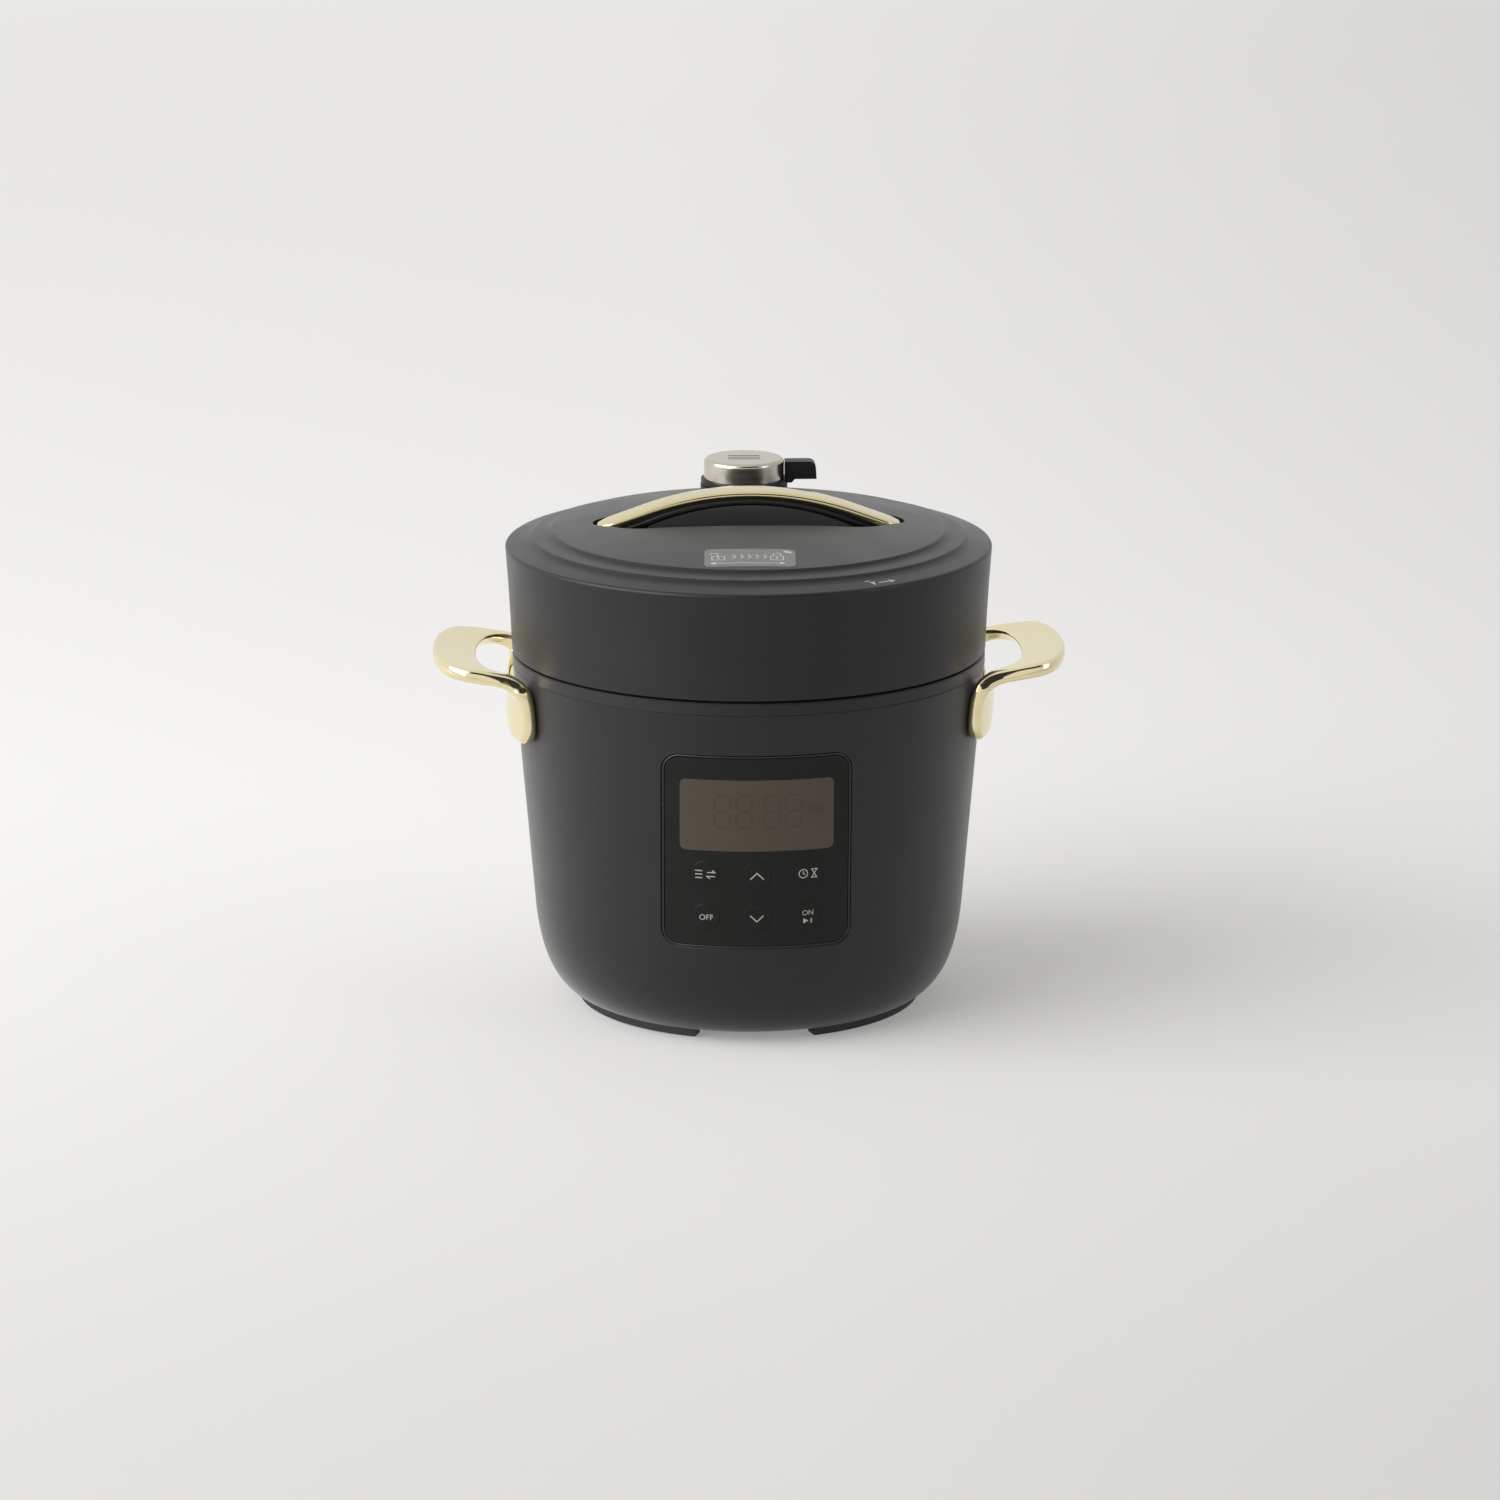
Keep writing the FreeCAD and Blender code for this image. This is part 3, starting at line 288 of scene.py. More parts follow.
def joined(parts: Sequence[bmesh.types.BMesh]) -> bmesh.types.BMesh:
    """Puts several meshes into the first one and frees the others.

    Args:
        parts: the meshes.

    Returns:
        The first mesh, which holds them all.
    """
    whole = parts[0]
    for part in parts[1:]:
        mesh = bpy.data.meshes.new("part")
        part.to_mesh(mesh)
        part.free()
        whole.from_mesh(mesh)
        bpy.data.meshes.remove(mesh)
    return whole


def fitted(name: str, bm: bmesh.types.BMesh, material: bpy.types.Material, body: str,
           slot: str, *nodes: str) -> bpy.types.Object:
    """Finishes a piece, hangs it on its body and reports it.

    Args:
        name: name of the piece.
        bm: its mesh.
        material: its material.
        body: the body that it moves with.
        slot: not used.
        nodes: the plain CAD nodes that it stands for.

    Returns:
        The piece.
    """
    piece = finished(name, bm, material, PIECE_SHARP_DEGREES)
    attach(piece, body)
    if nodes:
        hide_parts(*nodes)
    LOG.info("piece %s: %d faces", name, len(piece.data.polygons))
    return piece


def rounded_section(width: float, low: float, high: float, low_r: float, high_r: float,
                    steps: int) -> list[Point2]:
    """Closed rounded rectangle, 0 to width across and low to high through.

    Args:
        width: extent across.
        low: first face through the thickness.
        high: second face.
        low_r: corner radius at the first face.
        high_r: corner radius at the second face.
        steps: segments of each corner, and of each straight side across.

    Returns:
        The ring of points, its last point not repeated.
    """
    half = (high - low) / 2
    a = min(low_r, half, width / 2)
    b = min(high_r, half, width / 2)
    corners = [(width - a, low + a, a, -90.0), (width - b, high - b, b, 0.0),
               (b, high - b, b, 90.0), (a, low + a, a, 180.0)]
    ring: list[Point2] = []
    for index, (x, y, r, start) in enumerate(corners):
        for k in range(steps + 1):
            angle = math.radians(start + 90.0 * k / steps)
            ring.append((x + r * math.cos(angle), y + r * math.sin(angle)))
        if index in (1, 3):
            x_next, r_next = corners[(index + 1) % 4][0], corners[(index + 1) % 4][2]
            last = ring[-1]
            goal = (x_next, y + r if index == 1 else low)
            ring += [(last[0] + (goal[0] - last[0]) * k / steps, goal[1])
                     for k in range(1, steps)]
    return ring


def through(knots: Sequence[float], values: Sequence[Sequence[float]],
            t: float) -> list[float]:
    """Reads a smooth cubic curve whose slopes come from the neighbouring knots.

    Args:
        knots: rising numbers.
        values: a row of numbers for each knot.
        t: where the curve is read.

    Returns:
        The row of numbers at t.
    """
    last = len(knots) - 1
    i = max(0, min(last - 1, next((k for k in range(last) if knots[k + 1] >= t), last - 1)))
    span = knots[i + 1] - knots[i]
    u = min(1.0, max(0.0, (t - knots[i]) / span))

    def slope(k: int, axis: int) -> float:
        """Slope at a knot along one axis."""
        a, b = max(0, k - 1), min(last, k + 1)
        return (values[b][axis] - values[a][axis]) / (knots[b] - knots[a])

    out = []
    for axis in range(len(values[0])):
        p, q = values[i][axis], values[i + 1][axis]
        m, n = slope(i, axis) * span, slope(i + 1, axis) * span
        out.append((2 * u ** 3 - 3 * u ** 2 + 1) * p + (u ** 3 - 2 * u ** 2 + u) * m
                   + (3 * u ** 2 - 2 * u ** 3) * q + (u ** 3 - u ** 2) * n)
    return out


# ---------------------------------------------------------------- finishes
class Centre(Enum):
    """Upright axes that turned parts are turned about, in millimetres."""

    BODY = (0.0, 0.0)
    VENT = (0.0, VENT_Y)
    FLOAT = (28.0, 40.0)


@dataclass(frozen=True)
class Finish:
    """What every finish has: a name, a colour and how sharply it mirrors.

    Real grains, brush marks and tool marks are a fraction of a millimetre, too fine to
    show. They are drawn several times as coarse, only to break up a highlight, and are kept
    a few micrometres deep.
    """

    name: str
    colour: str
    roughness: float

    def start(self) -> tuple[bpy.types.Material, bpy.types.NodeTree, bpy.types.Node,
                             bpy.types.NodeSocket]:
        """Makes the material with its shader.

        Returns:
            The material, its tree, the shader and the Object coordinate socket.
        """
        material = bpy.data.materials.new(self.name)
        material.use_nodes = True
        tree = material.node_tree
        tree.nodes.clear()
        shader = add_node(tree, "ShaderNodeBsdfPrincipled",
                          {"Base Color": linear(self.colour), "Roughness": self.roughness})
        add_node(tree, "ShaderNodeOutputMaterial", {"Surface": shader.outputs["BSDF"]})
        coords = add_node(tree, "ShaderNodeTexCoord")
        return material, tree, shader, coords.outputs["Object"]

    def vary(self, tree: bpy.types.NodeTree, shader: bpy.types.Node,
             vector: bpy.types.NodeSocket, patch_mm: float, colour_share: float,
             roughness_share: float) -> None:
        """Lets colour and roughness drift a little over the surface.

        Args:
            tree: the material's tree.
            shader: the Principled shader.
            vector: coordinates in metres.
            patch_mm: size of a patch.
            colour_share: largest change of brightness, as a share.
            roughness_share: largest change of roughness, as a share.
        """
        cloud = add_node(tree, "ShaderNodeTexNoise",
                         {"Vector": vector, "Scale": 1 / (patch_mm * MM), "Detail": 3.0})
        base = linear(self.colour)
        dark = tuple(c * (1 - colour_share) for c in base[:3]) + (1.0,)
        light = tuple(min(1.0, c * (1 + colour_share)) for c in base[:3]) + (1.0,)
        tone = add_node(tree, "ShaderNodeMix",
                        {"Factor": cloud.outputs["Fac"], MIX_A: dark, MIX_B: light},
                        data_type="RGBA")
        tree.links.new(tone.outputs[MIX_OUT], shader.inputs["Base Color"])
        span = self.roughness * roughness_share
        dull = add_node(tree, "ShaderNodeMapRange",
                        {"Value": cloud.outputs["Fac"], "From Min": NOISE_LOW,
                         "From Max": NOISE_HIGH, "To Min": self.roughness - span,
                         "To Max": self.roughness + span})
        tree.links.new(dull.outputs["Result"], shader.inputs["Roughness"])

    def grained(self, tree: bpy.types.NodeTree, shader: bpy.types.Node,
                vector: bpy.types.NodeSocket, grain_mm: float, depth_mm: float,
                detail: float, breadth: float = 0.5) -> None:
        """Raises a cloudy grain.

        Args:
            tree: the material's tree.
            shader: the Principled shader.
            vector: coordinates in metres.
            grain_mm: size of a grain in millimetres.
            depth_mm: how high it stands, in millimetres.
            detail: how many finer grains are laid over it.
            breadth: how strong each finer one is beside the one before.
        """
        grain = add_node(tree, "ShaderNodeTexNoise",
                         {"Vector": vector, "Scale": 1 / (grain_mm * MM), "Detail": detail,
                          "Roughness": breadth})
        self.emboss(tree, shader, grain.outputs["Fac"], depth_mm)

    def emboss(self, tree: bpy.types.NodeTree, shader: bpy.types.Node,
               height: bpy.types.NodeSocket, depth_mm: float) -> None:
        """Raises a pattern as fine relief.

        Args:
            tree: the material's tree.
            shader: the Principled shader.
            height: the pattern, from 0 to 1.
            depth_mm: how high it stands, in millimetres.
        """
        bump = add_node(tree, "ShaderNodeBump",
                        {"Height": height, "Distance": depth_mm * MM, "Strength": 1.0})
        tree.links.new(bump.outputs["Normal"], shader.inputs["Normal"])


@dataclass(frozen=True)
class Moulded(Finish):
    """Moulded ABS or PP with a spark-eroded grain: breaks up highlights into a soft sheen."""

    grain_mm: float = 0.7
    depth_mm: float = 0.006
    patch_mm: float = 24.0
    colour_share: float = 0.05
    roughness_share: float = 0.08
    ior: float = 1.5
    sheen: float = 0.0
    sheen_roughness: float = 0.4

    def build(self) -> bpy.types.Material:
        """Builds the finish's nodes.

        Returns:
            The material.
        """
        material, tree, shader, vector = self.start()
        self.vary(tree, shader, vector, self.patch_mm, self.colour_share,
                  self.roughness_share)
        self.grained(tree, shader, vector, self.grain_mm, self.depth_mm, 2.0, 0.6)
        shader.inputs["IOR"].default_value = self.ior
        shader.inputs["Sheen Weight"].default_value = self.sheen
        shader.inputs["Sheen Roughness"].default_value = self.sheen_roughness
        return material


@dataclass(frozen=True)
class Plated(Finish):
    """Polished plating: a mirror with the faint waviness that hand polishing leaves."""

    wave_mm: float = 9.0
    depth_mm: float = 0.004
    patch_mm: float = 14.0
    colour_share: float = 0.02
    roughness_share: float = 0.25

    def build(self) -> bpy.types.Material:
        """Builds the finish's nodes.

        Returns:
            The material.
        """
        material, tree, shader, vector = self.start()
        self.vary(tree, shader, vector, self.patch_mm, self.colour_share,
                  self.roughness_share)
        self.grained(tree, shader, vector, self.wave_mm, self.depth_mm, 1.0)
        shader.inputs["Metallic"].default_value = 1.0
        return material


@dataclass(frozen=True)
class Turned(Finish):
    """Metal turned or spun on a lathe: fine rings that draw a highlight out into a fan."""

    centre: Centre = Centre.BODY
    ring_mm: float = 0.5
    depth_mm: float = 0.004
    # How far a ring drifts in a turn: metres of noise for each radian.
    drift: float = 0.0006
    dull_low: float = 0.75
    dull_high: float = 1.3
    groove_tone: float = 0.9

    def build(self) -> bpy.types.Material:
        """Builds the finish's nodes.

        Returns:
            The material.
        """
        material, tree, shader, vector = self.start()
        x, y = self.centre.value
        placed = add_node(tree, "ShaderNodeMapping",
                          {"Vector": vector, "Location": (-x * MM, -y * MM, 0.0)})
        parts = add_node(tree, "ShaderNodeSeparateXYZ", {"Vector": placed.outputs["Vector"]})
        flat = add_node(tree, "ShaderNodeCombineXYZ",
                        {"X": parts.outputs["X"], "Y": parts.outputs["Y"]})
        radius = add_node(tree, "ShaderNodeVectorMath", {0: flat.outputs["Vector"]},
                          operation="LENGTH")
        sweep = add_node(tree, "ShaderNodeMath",
                         {0: parts.outputs["Y"], 1: parts.outputs["X"]}, operation="ARCTAN2")
        slow = add_node(tree, "ShaderNodeMath", {0: sweep.outputs[0], 1: self.drift},
                        operation="MULTIPLY")
        ringed = add_node(tree, "ShaderNodeCombineXYZ",
                          {"X": radius.outputs["Value"], "Y": slow.outputs[0],
                           "Z": parts.outputs["Z"]})
        rings = add_node(tree, "ShaderNodeTexNoise",
                         {"Vector": ringed.outputs["Vector"], "Scale": 1 / (self.ring_mm * MM),
                          "Detail": 3.0, "Roughness": 0.7})
        self.emboss(tree, shader, rings.outputs["Fac"], self.depth_mm)
        dull = add_node(tree, "ShaderNodeMapRange",
                        {"Value": rings.outputs["Fac"], "From Min": NOISE_LOW,
                         "From Max": NOISE_HIGH, "To Min": self.roughness * self.dull_low,
                         "To Max": self.roughness * self.dull_high})
        tree.links.new(dull.outputs["Result"], shader.inputs["Roughness"])
        base = linear(self.colour)
        groove = tuple(c * self.groove_tone for c in base[:3]) + (1.0,)
        tone = add_node(tree, "ShaderNodeMix",
                        {"Factor": rings.outputs["Fac"], MIX_A: groove, MIX_B: base},
                        data_type="RGBA")
        tree.links.new(tone.outputs[MIX_OUT], shader.inputs["Base Color"])
        shader.inputs["Metallic"].default_value = 1.0
        return material


@dataclass(frozen=True)
class Satin(Finish):
    """Rolled, plated or cast metal with no direction: a blurred, slightly patchy mirror."""

    grain_mm: float = 1.2
    depth_mm: float = 0.01
    patch_mm: float = 6.0
    colour_share: float = 0.08
    roughness_share: float = 0.25

    def build(self) -> bpy.types.Material:
        """Builds the finish's nodes.

        Returns:
            The material.
        """
        material, tree, shader, vector = self.start()
        self.vary(tree, shader, vector, self.patch_mm, self.colour_share,
                  self.roughness_share)
        self.grained(tree, shader, vector, self.grain_mm, self.depth_mm, 3.0)
        shader.inputs["Metallic"].default_value = 1.0
        return material


@dataclass(frozen=True)
class Film(Finish):
    """Printed and back-coated PET film: flat, smooth, with a weak orange peel."""

    coat: float = 0.0
    coat_roughness: float = 0.06
    ior: float = 1.5
    alpha: float = 1.0
    peel_mm: float = 1.5
    depth_mm: float = 0.0015
    patch_mm: float = 18.0
    colour_share: float = 0.05
    roughness_share: float = 0.1

    def build(self) -> bpy.types.Material:
        """Builds the finish's nodes.

        Returns:
            The material.
        """
        material, tree, shader, vector = self.start()
        self.vary(tree, shader, vector, self.patch_mm, self.colour_share,
                  self.roughness_share)
        self.grained(tree, shader, vector, self.peel_mm, self.depth_mm, 2.0)
        shader.inputs["IOR"].default_value = self.ior
        shader.inputs["Coat Weight"].default_value = self.coat
        shader.inputs["Coat Roughness"].default_value = self.coat_roughness
        shader.inputs["Alpha"].default_value = self.alpha
        return material


@dataclass(frozen=True)
class Rubber(Finish):
    """Silicone or rubber: no mirror, a little light inside, dust-grey highlights."""

    subsurface: float = 0.0
    subsurface_mm: float = 1.5
    ior: float = 1.42
    grain_mm: float = 0.6
    depth_mm: float = 0.008
    patch_mm: float = 8.0
    colour_share: float = 0.06
    roughness_share: float = 0.1

    def build(self) -> bpy.types.Material:
        """Builds the finish's nodes.

        Returns:
            The material.
        """
        material, tree, shader, vector = self.start()
        self.vary(tree, shader, vector, self.patch_mm, self.colour_share,
                  self.roughness_share)
        self.grained(tree, shader, vector, self.grain_mm, self.depth_mm, 2.0)
        shader.inputs["Subsurface Weight"].default_value = self.subsurface
        shader.inputs["Subsurface Scale"].default_value = self.subsurface_mm * MM
        shader.inputs["IOR"].default_value = self.ior
        return material


@dataclass(frozen=True)
class Speckled(Finish):
    """Fluoropolymer non-stick coating: dark satin with sparse light flecks."""

    fleck: str = "#8C8C8A"
    cell_mm: float = 2.6
    fleck_share: float = 0.10
    fleck_edge: float = 0.04
    patch_mm: float = 20.0
    colour_share: float = 0.06
    roughness_share: float = 0.1

    def build(self) -> bpy.types.Material:
        """Builds the finish's nodes.

        Returns:
            The material.
        """
        material, tree, shader, vector = self.start()
        self.vary(tree, shader, vector, self.patch_mm, self.colour_share,
                  self.roughness_share)
        ground = shader.inputs["Base Color"].links[0].from_socket
        cells = add_node(tree, "ShaderNodeTexVoronoi",
                         {"Vector": vector, "Scale": 1 / (self.cell_mm * MM)}, feature="F1")
        dots = add_node(tree, "ShaderNodeMapRange",
                        {"Value": cells.outputs["Distance"], "From Min": self.fleck_share,
                         "From Max": self.fleck_share + self.fleck_edge, "To Min": 1.0,
                         "To Max": 0.0})
        mix = add_node(tree, "ShaderNodeMix",
                       {"Factor": dots.outputs["Result"], MIX_A: ground,
                        MIX_B: linear(self.fleck)}, data_type="RGBA")
        tree.links.new(mix.outputs[MIX_OUT], shader.inputs["Base Color"])
        return material


# Soft-touch lacquer on the drawn body: near black, with a broad pale sheen at its sides.
BODY_BLACK = Moulded("abs_soft_touch_black", "#161617", 0.40, ior=1.39, sheen=0.26)
# The same lacquer on the lid, whose top is seen at a slant and needs less of that sheen.
LID_BLACK = Moulded("abs_soft_touch_lid", "#161617", 0.40, ior=1.39, sheen=0.10)
# Moulded PP underneath: a coarser grain that stays dull.
BASE_BLACK = Moulded("pp_base_black", "#171717", 0.55, grain_mm=0.9, depth_mm=0.01)
# Glass-filled polyamide of the vent: deep black with soft edges of light.
VENT_BLACK = Moulded("pa_vent_black", "#0F0F0F", 0.42, grain_mm=0.5, depth_mm=0.004,
                     ior=1.42)
# The same plastic from a polished mould: the grip under the strap shines a little.
CORE_BLACK = Moulded("pa_grip_black", "#0B0B0B", 0.30, grain_mm=0.5, depth_mm=0.002)
# Moulded PBT of the inlet: flat black without any sheen.
INLET_BLACK = Moulded("pbt_inlet_black", "#161617", 0.5)
# Moulded ABS bead round the panel: its round edge carries one thin line of light.
PANEL_RIM = Moulded("abs_panel_rim", "#191919", 0.35, grain_mm=0.5, depth_mm=0.002)
# Moulded POM of the float's bush: a waxy mid grey.
BUSH_GREY = Moulded("pom_bush_grey", "#4A4A4A", 0.4)
# Moulded epoxy of the electronic parts: dark, with cloudy differences in tone.
COMPONENT = Moulded("epoxy_component", "#1C1C1E", 0.35, colour_share=0.3, patch_mm=9.0)
# Extruded PVC sleeve of the wiring: an even light grey.
CABLE = Moulded("pvc_cable_grey", "#8F9092", 0.4)
# Pressed and fired steatite of the fuse: chalky cream.
CERAMIC = Moulded("steatite_ceramic", "#CFC8B8", 0.6)
# Glass-epoxy board under green resist: small patches of tone stand in for its tracks.
BOARD = Moulded("fr4_board_green", "#14502A", 0.3, colour_share=0.25, patch_mm=3.0)
# Pale gold plating over polished zinc: a clear mirror that warms what it shows.
GOLD = Plated("plated_pale_gold", "#F3E6BC", 0.05)
# The same plating over a brushed strap: a blurred mirror whose colour is set a shade deeper,
# painted shade that dims what its top mirrors.
STRAP_GOLD = Plated("plated_gold_brushed_painted_shade", "#E2D5A8", 0.13, wave_mm=3.0)
# Nickel plating on the drawn pins: a warm silver mirror.
NICKEL = Plated("plated_nickel", "#CFC9BB", 0.16)
# Stainless steel turned on its face: a bright cap whose highlight fans out from its middle.
CAP_STEEL = Turned("turned_steel_cap", "#C9C4BB", 0.2, Centre.VENT, ring_mm=0.6)
# Spun aluminium of the pot's jacket and the sensor: soft silver with rings down the wall.
SPUN_ALUMINIUM = Turned("spun_aluminium", "#C6C7C8", 0.3, ring_mm=0.9, depth_mm=0.006)
# Cast aluminium plate, faced on a lathe: plain grooves and a wide, dull highlight.
PLATE_ALUMINIUM = Turned("turned_plate", "#B4B5B6", 0.34, ring_mm=1.1, depth_mm=0.012)
# Spun stainless steel of the pan and the collar: brighter, with finer rings.
PAN_STEEL = Turned("spun_steel_pan", "#BFBFBD", 0.28, ring_mm=0.8, depth_mm=0.006)
# Turned steel of the weight and the steam pipe: tight rings, a clear highlight.
WEIGHT_STEEL = Turned("turned_weight", "#B5B3AE", 0.25, Centre.VENT, ring_mm=0.5)
# The float pin, turned about its own axis: a small bright dot on the lid.
FLOAT_STEEL = Turned("turned_float", "#C0BEB9", 0.25, Centre.FLOAT, ring_mm=0.5)
# Zinc-plated screws and posts: a blurred grey mirror.
ZINC = Satin("zinc_plated_steel", "#A9A9A6", 0.35)
# Drawn spring wire: nearly the same grey, with a finer grain.
SPRING = Satin("drawn_spring_wire", "#A5A5A3", 0.3, grain_mm=0.4)
# Annealed sheath of the heating element: browned by heat and dull.
ELEMENT = Satin("annealed_sheath", "#6E6A66", 0.5)
# Pressed silicone of the seals: milky, and light goes a little way in.
SILICONE = Rubber("silicone_translucent", "#C9C8C2", 0.45, subsurface=0.25)
# Pressed rubber of the feet: matt black.
FOOT_RUBBER = Rubber("rubber_foot_black", "#161616", 0.75)
# Near-black rubber laid in the body's joints: painted shade, so that each joint reads as the
# dark line of its shade.
SEAM_SHADE_BLACK = Rubber("seam_painted_shade_black", "#050505", 0.9)
# Sprayed non-stick coating of the pot: dark satin with pale flecks.
POT_COATING = Speckled("nonstick_speckled", "#262628", 0.38)
# Back-printed PET over the panel and its keys: a flatter, deeper black than the body.
PANEL_FILM = Film("pet_panel_black", "#121211", 0.38, ior=1.30)
# The same film left clear over the display and smoked brown.
WINDOW_FILM = Film("smoked_window", "#40382F", 0.26, ior=1.40, coat=0.08)
# Glass of the display behind the film: an idle warm grey under a clear coat.
LCD_GLASS = Film("lcd_glass", "#5A5850", 0.2, coat=0.5)
# Unlit segments: a shade darker than the smoked film, seen only when looked for.
DIGIT_FILM = Film("lcd_idle_segment", "#3B332B", 0.26, ior=1.40, coat=0.08)
# Clear film stuck on the lid: a greyish veil.
LABEL_FILM = Film("label_translucent", "#8E8E8C", 0.3, alpha=0.42)
# Screen printing in grey ink: matt and even.
PRINT_INK = Film("screen_print_grey", "#989995", 0.5)
# The label's white ink: thin enough to let the film show through.
LABEL_INK = Film("label_print_white", "#C4C5C2", 0.5, alpha=0.75)


class Paints:
    """Builds each finish once and hands out its material."""

    def __init__(self) -> None:
        """Starts with nothing built."""
        self.made: dict[str, bpy.types.Material] = {}

    def of(self, finish: Finish) -> bpy.types.Material:
        """Builds a finish when it is first asked for.

        Args:
            finish: the finish.

        Returns:
            Its material, which is the same one each time.
        """
        if finish.name not in self.made:
            self.made[finish.name] = finish.build()
        return self.made[finish.name]


# ---------------------------------------------------------------- carried-over CAD nodes
NODE_FINISHES: dict[str, Finish] = {
    "outer_shell": BODY_BLACK, "body_top_ring": BODY_BLACK, "lid_cover": LID_BLACK,
    "bottom_cover": BASE_BLACK, "rubber_feet": FOOT_RUBBER, "lid_handle_core": CORE_BLACK,
    "lid_handle_strap": GOLD, "left_handle": GOLD, "right_handle": GOLD,
    "vent_collar": VENT_BLACK, "vent_lever": VENT_BLACK, "vent_cap": CAP_STEEL,
    "bayonet_ring": PAN_STEEL, "pressure_lid": PAN_STEEL, "steam_pipe": WEIGHT_STEEL,
    "steam_pipe_nut": ZINC, "clog_guard": WEIGHT_STEEL, "sensor_holder": SPUN_ALUMINIUM,
    "bottom_screws": ZINC, "board_screws": ZINC, "inlet_screws": ZINC,
    "handle_screws": ZINC, "control_board_screws": ZINC, "lid_screws": ZINC,
    "lid_handle_screws": ZINC, "support_posts": ZINC, "pot_jacket": SPUN_ALUMINIUM,
    "heating_plate": PLATE_ALUMINIUM, "heating_element": ELEMENT, "thermal_fuse": CERAMIC,
    "sensor_spring": SPRING, "sensor_cap": SPUN_ALUMINIUM, "power_board": BOARD,
    "control_board": BOARD, "power_board_parts": COMPONENT, "tact_switches": COMPONENT,
    "wire_harness": CABLE, "inlet_housing": INLET_BLACK, "inlet_pins": NICKEL,
    "panel_frame": PANEL_RIM, "panel_overlay": PANEL_FILM, "display_window": WINDOW_FILM,
    "lcd_module": LCD_GLASS, "key_menu": PANEL_FILM, "key_up": PANEL_FILM,
    "key_timer": PANEL_FILM, "key_off": PANEL_FILM, "key_down": PANEL_FILM,
    "key_start": PANEL_FILM, "inner_pot": POT_COATING, "sealing_ring": SILICONE,
    "float_seal": SILICONE, "lid_label": LABEL_FILM, "float_pin": FLOAT_STEEL,
    "float_bush": BUSH_GREY, "regulator_weight": WEIGHT_STEEL,
}


def dress_nodes(paints: Paints) -> None:
    """Gives every carried-over node its finish.

    Args:
        paints: hands out the materials.
    """
    for name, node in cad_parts.items():
        node.data.materials.clear()
        node.data.materials.append(paints.of(NODE_FINISHES[name]))
        LOG.info("node %s: %s", name, NODE_FINISHES[name].name)


